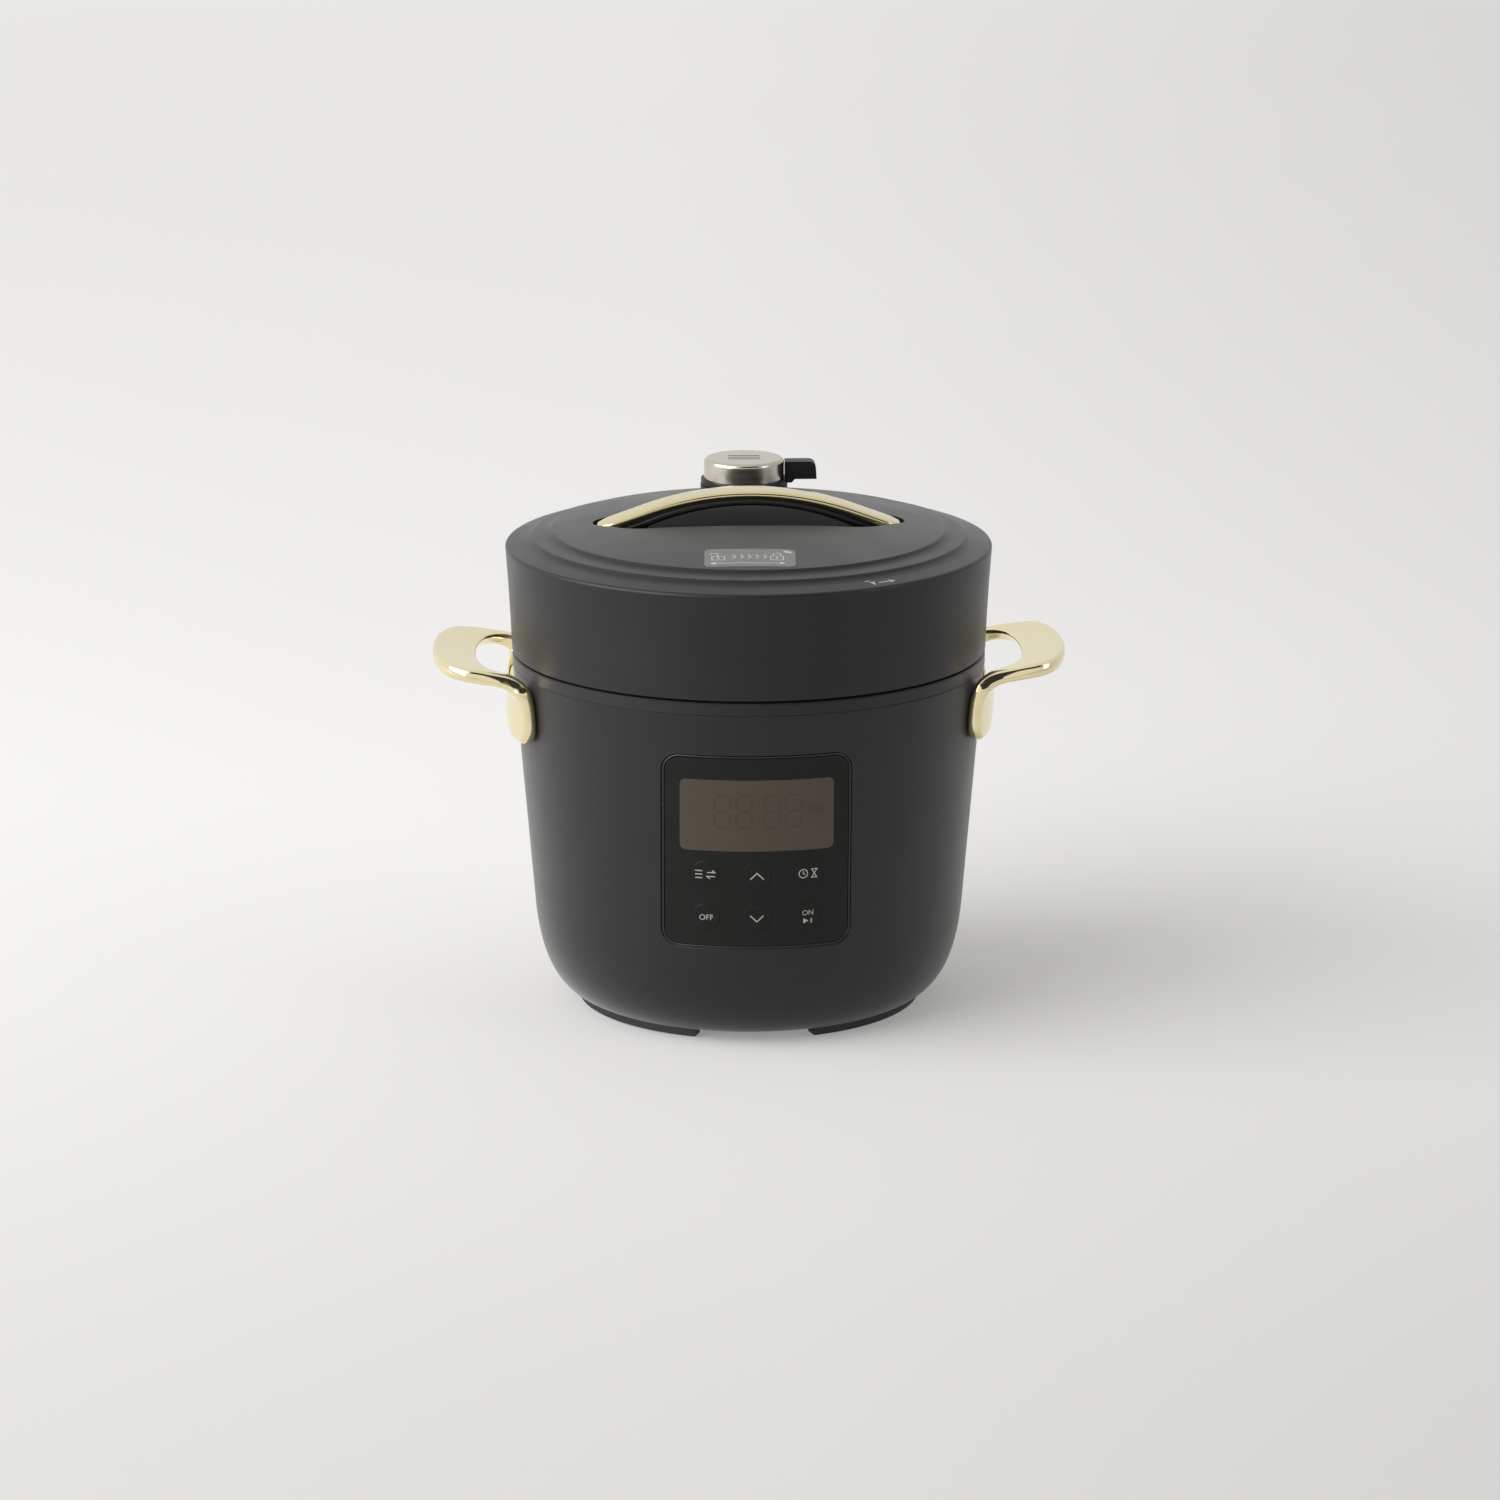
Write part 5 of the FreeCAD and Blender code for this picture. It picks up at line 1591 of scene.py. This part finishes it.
# ---------------------------------------------------------------- lid label and rim mark
@dataclass
class LidSigns:
    """Film on the dome that shows how the lid locks, and the aiming mark on its rim."""

    half_x: float = 19.55
    half_y: float = 11.25
    mid_y: float = -71.25
    corner_r: float = 3.0
    corner_steps: int = 6
    film: float = 0.12
    film_clear: float = 0.02
    turn_degrees: float = -1.63
    cell: float = 3.0
    ledge_low: Point2 = (106.0, 206.65)
    ledge_high: Point2 = (99.7, 208.0)
    mark_r: float = 102.8
    mark_degrees: float = -60.9

    def on_label(self, u: float, v: float, w: float) -> Vector:
        """Finds a point on or over the label film.

        Args:
            u: millimetres to the right of the film's middle.
            v: millimetres away from the front.
            w: height over the dome.

        Returns:
            The point in metres.
        """
        angle = math.radians(self.turn_degrees)
        y = self.mid_y + v
        return on_dome(u * math.cos(angle) - y * math.sin(angle),
                       u * math.sin(angle) + y * math.cos(angle), w)

    def on_ledge(self, u: float, v: float, w: float) -> Vector:
        """Finds a point over the lid's outer ledge.

        Args:
            u: millimetres round the ledge.
            v: millimetres towards the middle.
            w: millimetres above the ledge.

        Returns:
            The point in metres.
        """
        radius = self.mark_r - v
        share = (self.ledge_low[0] - radius) / (self.ledge_low[0] - self.ledge_high[0])
        z = self.ledge_low[1] + (self.ledge_high[1] - self.ledge_low[1]) * share
        angle = math.radians(self.mark_degrees) + u / self.mark_r
        return Vector((radius * math.cos(angle), radius * math.sin(angle), z + w)) * MM

    def film_mesh(self) -> bmesh.types.BMesh:
        """Cuts the film with its round corners and lays it on the dome.

        Returns:
            The closed film.
        """
        bm = bmesh.new()
        x, y = self.half_x, self.half_y
        bmesh.ops.create_grid(bm, x_segments=1, y_segments=1, size=1.0)
        bmesh.ops.scale(bm, verts=bm.verts[:], vec=(x, y, 1.0))
        bmesh.ops.bevel(bm, geom=bm.verts[:], offset=self.corner_r, offset_type="OFFSET",
                        segments=self.corner_steps, profile=0.5, affect="VERTICES",
                        material=-1)
        # Cuts a few millimetres apart let the film follow the dome.
        for axis, half in ((0, x), (1, y)):
            for k in range(1, int(2 * half / self.cell) + 1):
                at = Vector((0.0, 0.0, 0.0))
                at[axis] = -half + k * self.cell
                normal = Vector((1 - axis, axis, 0))
                bmesh.ops.bisect_plane(bm, geom=bm.verts[:] + bm.edges[:] + bm.faces[:],
                                       dist=1e-5, plane_co=at, plane_no=normal)
        whole = bm.faces[:]
        bmesh.ops.recalc_face_normals(bm, faces=whole)
        for vert in bm.verts:
            vert.co = self.on_label(vert.co.x, vert.co.y, self.film_clear)
        grown = bmesh.ops.extrude_face_region(bm, geom=whole)
        top = [v for v in grown["geom"] if isinstance(v, bmesh.types.BMVert)]
        bmesh.ops.translate(bm, verts=top, vec=(0, 0, self.film * MM))
        return closed_up(bm, 0.001)

    def padlock(self, marks: Marks, x: float, open_by: float) -> None:
        """Draws a padlock.

        Args:
            marks: the drawing to add it to.
            x: middle of its case.
            open_by: how far its bow is swung aside; 0 is locked.
        """
        marks.lines.append([(x - 2.7, -3.2), (x + 2.7, -3.2), (x + 2.7, 1.4), (x - 2.7, 1.4),
                            (x - 2.7, -3.45)])
        bow = marks.arc(x - open_by, 3.6, 1.7, 0.0, 180.0)
        far_leg = [] if open_by else [(x - 1.7, 1.6)]
        marks.lines.append([(x - open_by + 1.7, 1.6)] + bow + far_leg)
        marks.fills.append([(x - 0.5, -1.7), (x + 0.5, -1.7), (x + 0.5, 0.1), (x - 0.5, 0.1)])

    def label_marks(self) -> Marks:
        """Open and closed padlock, the way to turn, and a grip point.

        Returns:
            The drawing, in the film's own millimetres.
        """
        marks = Marks(0.5, self.film + 0.05)
        self.padlock(marks, -13.6, 1.9)
        self.padlock(marks, 11.6, 0.0)
        marks.lines.append([(-15.4, -7.2), (13.6, -7.2)])
        marks.fills.append([(-17.2, -7.2), (-14.6, -8.7), (-14.6, -5.7)])
        marks.fills.append([(15.4, -7.2), (12.8, -5.7), (12.8, -8.7)])
        for k in range(5):
            x = -7.4 + 3.3 * k
            marks.lines.append([(x, 3.2), (x + 1.3, 0.6), (x, -2.0)])
        marks.fills.append([(14.2, 9.2), (14.9, 6.6), (18.2, 5.4), (17.6, 7.9)])
        return marks

    def rim_marks(self) -> Marks:
        """Triangle to line up, and an arrow along the rim.

        Returns:
            The drawing, in the ledge's own millimetres.
        """
        marks = Marks(0.75, 0.04)
        marks.fills.append([(-1.3, 1.5), (1.3, 1.5), (0.0, -1.9)])
        marks.lines.append([(2.6 + k, 0.0) for k in range(7)])
        marks.fills.append([(8.4, 1.5), (11.4, 0.0), (8.4, -1.5)])
        marks.lines.append([(-2.9, 2.5), (-0.4, 2.5)])
        return marks

    def build(self, paints: Paints) -> None:
        """Lays the film in place of the plain one and prints both signs.

        Args:
            paints: hands out the materials.
        """
        fitted("label_film", self.film_mesh(), paints.of(LABEL_FILM), "lid", "label_film",
               "lid_label")
        fitted("label_signs", self.label_marks().mesh(self.on_label, 2.0),
               paints.of(LABEL_INK), "lid", "label_film")
        fitted("rim_sign", self.rim_marks().mesh(self.on_ledge, 2.0), paints.of(PRINT_INK),
               "lid", "label_film")


# ---------------------------------------------------------------- inner pot
@dataclass
class PotScale:
    """Level lines and plain numbers printed on the pot's back wall."""

    radius: float = 78.74
    levels: tuple[tuple[str, float], ...] = (("0.5", 73.0), ("1.0", 98.5), ("1.5", 124.0))
    half_line: float = 9.0
    line_width: float = 0.7
    number_height: float = 4.6
    number_gap: float = 7.0

    def on_pot(self, u: float, v: float, w: float) -> Vector:
        """Finds a point on the pot's back wall, seen from the front.

        Args:
            u: millimetres to the right.
            v: height in millimetres.
            w: millimetres off the wall.

        Returns:
            The point in metres.
        """
        radius = self.radius - w
        angle = u / self.radius
        return Vector((radius * math.sin(angle), radius * math.cos(angle), v)) * MM

    def build(self, paints: Paints) -> None:
        """Prints the scale.

        Args:
            paints: hands out the materials.
        """
        marks = Marks(self.line_width, INK_DEPTH)
        parts = []
        for text, z in self.levels:
            marks.lines.append([(-self.half_line, z), (self.half_line, z)])
            parts.append(laid_text(text, self.number_height,
                                   (self.half_line + self.number_gap, z), self.on_pot,
                                   INK_DEPTH))
        for low, high in zip(self.levels, self.levels[1:]):
            z = (low[1] + high[1]) / 2
            marks.lines.append([(-self.half_line / 2, z), (self.half_line / 2, z)])
        fitted("level_marks", joined([marks.mesh(self.on_pot, 2.0)] + parts),
               paints.of(PRINT_INK), "pot", "pot_coating")


@dataclass
class InletScrews:
    """Two pan-head screws with a cross recess that hold the power inlet on the back."""

    z: float = 62.0
    spread_degrees: float = 13.7
    seat: float = 0.4
    profile: tuple[Point2, ...] = ((0.0, -7.0), (1.4, -7.0), (1.4, 0.0), (2.5, 0.0),
                                   (2.5, 0.4), (1.9, 0.75), (1.0, 0.87), (0.0, 0.9))
    steps: int = 32
    head_edge_r: float = 0.2
    crown_z: float = 0.5
    cross_half: Point2 = (1.25, 0.32)
    cross_depth: float = 0.55
    cross_taper: float = 0.8

    def screw(self) -> bmesh.types.BMesh:
        """Models one upright screw, the underside of its head at height 0.

        Returns:
            The closed screw, in metres.
        """
        bm = spun(self.profile, self.steps, rounding={4: self.head_edge_r}, segments=2)
        # The recess is cut into the head's flat fan of faces, so its outline is cut first.
        for half in self.cross_half:
            for axis, sign in ((0, -1), (0, 1), (1, -1), (1, 1)):
                at = Vector((0.0, 0.0, 0.0))
                at[axis] = sign * half * MM
                top = [f for f in bm.faces
                       if f.calc_center_median().z > self.crown_z * MM]
                around = dict.fromkeys([e for f in top for e in f.edges]
                                       + [v for f in top for v in f.verts])
                bmesh.ops.bisect_plane(bm, geom=top + list(around), dist=1e-7, plane_co=at,
                                       plane_no=Vector((1 - axis, axis, 0)))
        cross = []
        for face in bm.faces:
            x, y, z = (abs(v) / MM for v in face.calc_center_median())
            near, wide = min(x, y), max(x, y)
            if (z > self.crown_z and face.calc_center_median().z > 0
                    and near < self.cross_half[1] and wide < self.cross_half[0]):
                cross.append(face)
        grown = bmesh.ops.extrude_face_region(bm, geom=cross)
        floor = [v for v in grown["geom"] if isinstance(v, bmesh.types.BMVert)]
        bmesh.ops.translate(bm, verts=floor, vec=(0, 0, -self.cross_depth * MM))
        bmesh.ops.scale(bm, verts=floor, vec=(self.cross_taper, self.cross_taper, 1.0))
        bmesh.ops.delete(bm, geom=cross, context="FACES")
        return closed_up(bm, 0.001)

    def build(self, paints: Paints) -> None:
        """Makes both screws and sets them into the wall.

        Args:
            paints: hands out the materials.
        """
        reach = (wall_radius(self.z) + self.seat) * MM
        screws = []
        for side in (-1, 1):
            bm = self.screw()
            turn = math.radians(90.0 + side * self.spread_degrees)
            bmesh.ops.rotate(bm, verts=bm.verts[:], cent=(0, 0, 0),
                             matrix=Matrix.Rotation(math.pi / 2, 3, "Y"))
            bmesh.ops.translate(bm, verts=bm.verts[:], vec=(reach, 0, self.z * MM))
            bmesh.ops.rotate(bm, verts=bm.verts[:], cent=(0, 0, 0),
                             matrix=Matrix.Rotation(turn, 3, "Z"))
            screws.append(bm)
        fitted("inlet_screw_pair", joined(screws), paints.of(ZINC), "base", "screw_steel",
               "inlet_screws")


@dataclass
class SensorSpring:
    """Coil spring under the temperature sensor, which shortens when the pot sits on it."""

    coil_radius: float = 7.5
    wire_radius: float = 0.55
    wire_sides: int = 12
    turns: int = 6
    steps_per_turn: int = 36
    travel: float = 1.5

    def build(self, paints: Paints) -> None:
        """Winds the coil in place of the plain one.

        Args:
            paints: hands out the materials.
        """
        low, high = (corner[2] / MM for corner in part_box("sensor_spring"))
        steps = self.turns * self.steps_per_turn
        rise = (high - low - 2 * self.wire_radius) / steps
        bm = bmesh.new()
        bmesh.ops.create_circle(bm, segments=self.wire_sides, radius=self.wire_radius * MM)
        bmesh.ops.rotate(bm, verts=bm.verts[:], cent=(0, 0, 0),
                         matrix=Matrix.Rotation(math.pi / 2, 3, "X"))
        bmesh.ops.translate(bm, verts=bm.verts[:],
                            vec=Vector((self.coil_radius, 0, low + self.wire_radius)) * MM)
        bmesh.ops.spin(bm, geom=bm.verts[:] + bm.edges[:], cent=(0, 0, 0), axis=(0, 0, 1),
                       dvec=(0, 0, rise * MM), angle=FULL_TURN * self.turns, steps=steps,
                       use_merge=False, use_duplicate=False)
        bmesh.ops.holes_fill(bm, edges=[e for e in bm.edges if e.is_boundary], sides=0)
        bmesh.ops.recalc_face_normals(bm, faces=bm.faces[:])
        coil = fitted("coil_spring", bm, paints.of(SPRING), "base", "spring_steel",
                      "sensor_spring")
        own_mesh(coil)


# ---------------------------------------------------------------- studio
@dataclass
class Studio:
    """Pale floor, one broad soft key from the left and an even surround."""

    target: tuple[float, float, float] = (0.0006, 0.0, 0.1112)
    distance: float = 2.4
    azimuth: float = -2.1
    elevation: float = 14.58
    lens: float = 129.24
    lens_sensor: float = 36.0
    clip: Point2 = (0.05, 60.0)
    floor_half: float = 12.0
    floor_colour: str = "#E4E3E2"
    paper_glow: float = 0.34
    # Painted shade and light over the floor, standing for the lamps' falloff: darker to the
    # right and the front, lighter far behind. Each gives from and to, in metres, then the tone
    # at both.
    painted_shade_right: Span = (0.0, 0.9, 1.0, 0.86)
    painted_shade_front: Span = (-0.75, 0.45, 0.78, 1.04)
    painted_light_far: Span = (0.8, 4.0, 1.0, 1.16)
    floor_grain: Point2 = (0.985, 1.01)
    lit_colour: str = "#F6F6F4"
    seen_colour: str = "#E8E8E6"
    surround: float = 0.84
    surround_in_gloss: float = 0.98
    surround_right: Span = (-0.5, 1.0, 1.0, 0.7)
    # The dark opening: its middle, half width and soft edge in degrees round the cooker,
    # then where its top and its foot blend out, as the height of the way looked along.
    opening_bearing: tuple[float, float, float] = (18.0, 32.0, 6.0)
    opening_top: Point2 = (0.75, 0.92)
    opening_foot: Point2 = (0.28, 0.36)
    opening_level: float = 0.045
    key_energy: float = 0.66
    key_degrees: float = 50.0
    key_way: tuple[float, float, float] = (0.74, 0.10, -0.67)
    # Each softbox: name, size in metres, place in metres and power in watts.
    boxes: tuple[tuple[str, Point2, tuple[float, float, float], float], ...] = (
        ("softbox_left", (2.8, 2.1), (-2.05, -0.95, 1.2), 78.0),
        ("softbox_right", (0.9, 1.6), (2.2, -1.15, 0.9), 6.0))

    def camera(self) -> None:
        """Makes the camera and makes it the scene's."""
        a, e = math.radians(self.azimuth), math.radians(self.elevation)
        back = Vector((math.sin(a) * math.cos(e), -math.cos(a) * math.cos(e), math.sin(e)))
        data = bpy.data.cameras.new("studio_camera")
        data.lens = self.lens
        data.sensor_width = self.lens_sensor
        data.clip_start, data.clip_end = self.clip
        camera = bpy.data.objects.new("studio_camera", data)
        bpy.context.scene.collection.objects.link(camera)
        camera.location = Vector(self.target) + back * self.distance
        camera.rotation_mode = "QUATERNION"
        camera.rotation_quaternion = (-back).to_track_quat("-Z", "Y")
        bpy.context.scene.camera = camera

    def floor(self) -> None:
        """Lays the floor: a matte paper whose colour is painted darker to the right and the
        front, and lighter far behind, as painted shade and light for the falloff of the lamps.

        Part of what the eye and the metal see of it is a constant glow, painted light like
        that of brightly lit paper, so the cooker's shadow stays but is never heavy.
        """
        bm = bmesh.new()
        bmesh.ops.create_grid(bm, x_segments=4, y_segments=4, size=self.floor_half)
        material = bpy.data.materials.new("matte_paper_floor")
        material.use_nodes = True
        tree = material.node_tree
        tree.nodes.clear()
        place = add_node(tree, "ShaderNodeTexCoord").outputs["Object"]
        parts = add_node(tree, "ShaderNodeSeparateXYZ", {"Vector": place})
        cloud = add_node(tree, "ShaderNodeTexNoise", {"Vector": place, "Scale": 1.5})
        # Painted shade: the floor's colour is darkened to the right and the front, and
        # lightened far behind.
        right = add_node(tree, "ShaderNodeMapRange",
                         spanned(parts.outputs["X"], self.painted_shade_right))
        front = add_node(tree, "ShaderNodeMapRange",
                         spanned(parts.outputs["Y"], self.painted_shade_front),
                         interpolation_type="SMOOTHSTEP")
        grain = add_node(tree, "ShaderNodeMapRange",
                         spanned(cloud.outputs["Fac"], (0.0, 1.0) + self.floor_grain))
        far = add_node(tree, "ShaderNodeMapRange",
                       spanned(parts.outputs["Y"], self.painted_light_far))
        tone = right
        for fall in (far, front, grain):
            tone = add_node(tree, "ShaderNodeMath", {0: tone.outputs[0], 1: fall.outputs[0]},
                            operation="MULTIPLY")
        paint = add_node(tree, "ShaderNodeVectorMath",
                         {0: linear(self.floor_colour)[:3], "Scale": tone.outputs[0]},
                         operation="SCALE")
        # What the camera, the gloss and clear film see of the paper is partly its glow.
        path = add_node(tree, "ShaderNodeLightPath")
        matte = add_node(tree, "ShaderNodeBsdfDiffuse", {"Color": paint.outputs[0]})
        glow = add_node(tree, "ShaderNodeEmission", {"Color": paint.outputs[0]})
        seen = add_node(tree, "ShaderNodeMath",
                        {0: path.outputs["Is Camera Ray"], 1: path.outputs["Is Glossy Ray"]},
                        operation="ADD")
        seen_all = add_node(tree, "ShaderNodeMath",
                            {0: seen.outputs[0], 1: path.outputs["Is Transmission Ray"]},
                            operation="ADD", use_clamp=True)
        share = add_node(tree, "ShaderNodeMath",
                         {0: seen_all.outputs[0], 1: self.paper_glow}, operation="MULTIPLY")
        mix = add_node(tree, "ShaderNodeMixShader",
                       {0: share.outputs[0], 1: matte.outputs[0], 2: glow.outputs[0]})
        add_node(tree, "ShaderNodeOutputMaterial", {"Surface": mix.outputs[0]})
        finished("studio_floor", bm, material)

    def world(self) -> None:
        """Pale surround, dimmer to the right, with a dark opening over the floor in front."""
        world = bpy.data.worlds.new("studio_surround")
        bpy.context.scene.world = world
        world.use_nodes = True
        tree = world.node_tree
        tree.nodes.clear()
        way = add_node(tree, "ShaderNodeTexCoord").outputs["Generated"]
        parts = add_node(tree, "ShaderNodeSeparateXYZ", {"Vector": way})
        front = add_node(tree, "ShaderNodeMath", {0: parts.outputs["Y"], 1: -1.0},
                         operation="MULTIPLY")
        bearing = add_node(tree, "ShaderNodeMath", {0: parts.outputs["X"],
                                                    1: front.outputs[0]},
                           operation="ARCTAN2")
        centre, half, edge = (math.radians(v) for v in self.opening_bearing)
        off = add_node(tree, "ShaderNodeMath", {0: bearing.outputs[0], 1: centre},
                       operation="SUBTRACT")
        away = add_node(tree, "ShaderNodeMath", {0: off.outputs[0]}, operation="ABSOLUTE")
        beside = add_node(tree, "ShaderNodeMapRange",
                          spanned(away.outputs[0], (half - edge, half + edge, 0.0, 1.0)),
                          interpolation_type="SMOOTHSTEP")
        above = add_node(tree, "ShaderNodeMapRange",
                         spanned(parts.outputs["Z"], self.opening_top + (0.0, 1.0)),
                         interpolation_type="SMOOTHSTEP")
        below = add_node(tree, "ShaderNodeMapRange",
                         spanned(parts.outputs["Z"], self.opening_foot + (1.0, 0.0)),
                         interpolation_type="SMOOTHSTEP")
        ends = add_node(tree, "ShaderNodeMath", {0: above.outputs[0], 1: below.outputs[0]},
                        operation="MAXIMUM")
        outside = add_node(tree, "ShaderNodeMath", {0: beside.outputs[0],
                                                    1: ends.outputs[0]},
                           operation="MAXIMUM")
        unlit = add_node(tree, "ShaderNodeMapRange",
                         {"Value": outside.outputs[0], "To Min": self.opening_level})
        side = add_node(tree, "ShaderNodeMapRange",
                        spanned(parts.outputs["X"], self.surround_right))
        tone = add_node(tree, "ShaderNodeMath", {0: unlit.outputs[0], 1: side.outputs[0]},
                        operation="MULTIPLY")
        path = add_node(tree, "ShaderNodeLightPath")
        strength = add_node(tree, "ShaderNodeMapRange",
                            {"Value": path.outputs["Is Glossy Ray"],
                             "To Min": self.surround, "To Max": self.surround_in_gloss})
        level = add_node(tree, "ShaderNodeMath", {0: tone.outputs[0],
                                                  1: strength.outputs[0]},
                         operation="MULTIPLY")
        lit = add_node(tree, "ShaderNodeBackground",
                       {"Color": linear(self.lit_colour), "Strength": level.outputs[0]})
        seen = add_node(tree, "ShaderNodeBackground", {"Color": linear(self.seen_colour)})
        mix = add_node(tree, "ShaderNodeMixShader",
                       {0: path.outputs["Is Camera Ray"], 1: lit.outputs[0],
                        2: seen.outputs[0]})
        add_node(tree, "ShaderNodeOutputWorld", {"Surface": mix.outputs[0]})

    def lights(self) -> None:
        """Hangs the broad key and the softboxes that show in the polished metal."""
        sun = bpy.data.lights.new("key_overcast", "SUN")
        sun.energy = self.key_energy
        sun.angle = math.radians(self.key_degrees)
        key = bpy.data.objects.new("key_overcast", sun)
        key.rotation_mode = "QUATERNION"
        key.rotation_quaternion = Vector(self.key_way).to_track_quat("-Z", "Y")
        key.visible_glossy = False
        bpy.context.scene.collection.objects.link(key)
        for name, size, place, energy in self.boxes:
            self.softbox(name, size, place, energy)

    def softbox(self, name: str, size: Point2, place: Sequence[float],
                energy: float) -> None:
        """Hangs a rectangular softbox that looks at the cooker.

        Args:
            name: name of the light.
            size: width and height in metres.
            place: where it hangs, in metres.
            energy: its power in watts.
        """
        area = bpy.data.lights.new(name, "AREA")
        area.shape = "RECTANGLE"
        area.size, area.size_y = size
        area.energy = energy
        box = bpy.data.objects.new(name, area)
        box.location = place
        box.rotation_mode = "QUATERNION"
        box.rotation_quaternion = (Vector(self.target) - box.location).to_track_quat("-Z", "Y")
        bpy.context.scene.collection.objects.link(box)

    def build(self) -> None:
        """Sets the whole studio up."""
        self.camera()
        self.floor()
        self.world()
        self.lights()
        bpy.context.scene.view_settings.view_transform = "Standard"


def main() -> None:
    """Builds every class in order and reports each piece."""
    logging.basicConfig(level=logging.INFO, format="%(message)s")
    Studio().build()
    paints = Paints()
    dress_nodes(paints)
    SideHandle().build(paints)
    LidHandle().build(paints)
    BodySeams().build(paints)
    ControlPanel().build(paints)
    LidSigns().build(paints)
    PotScale().build(paints)
    InletScrews().build(paints)
    SensorSpring().build(paints)


if __name__ == "__main__":
    main()
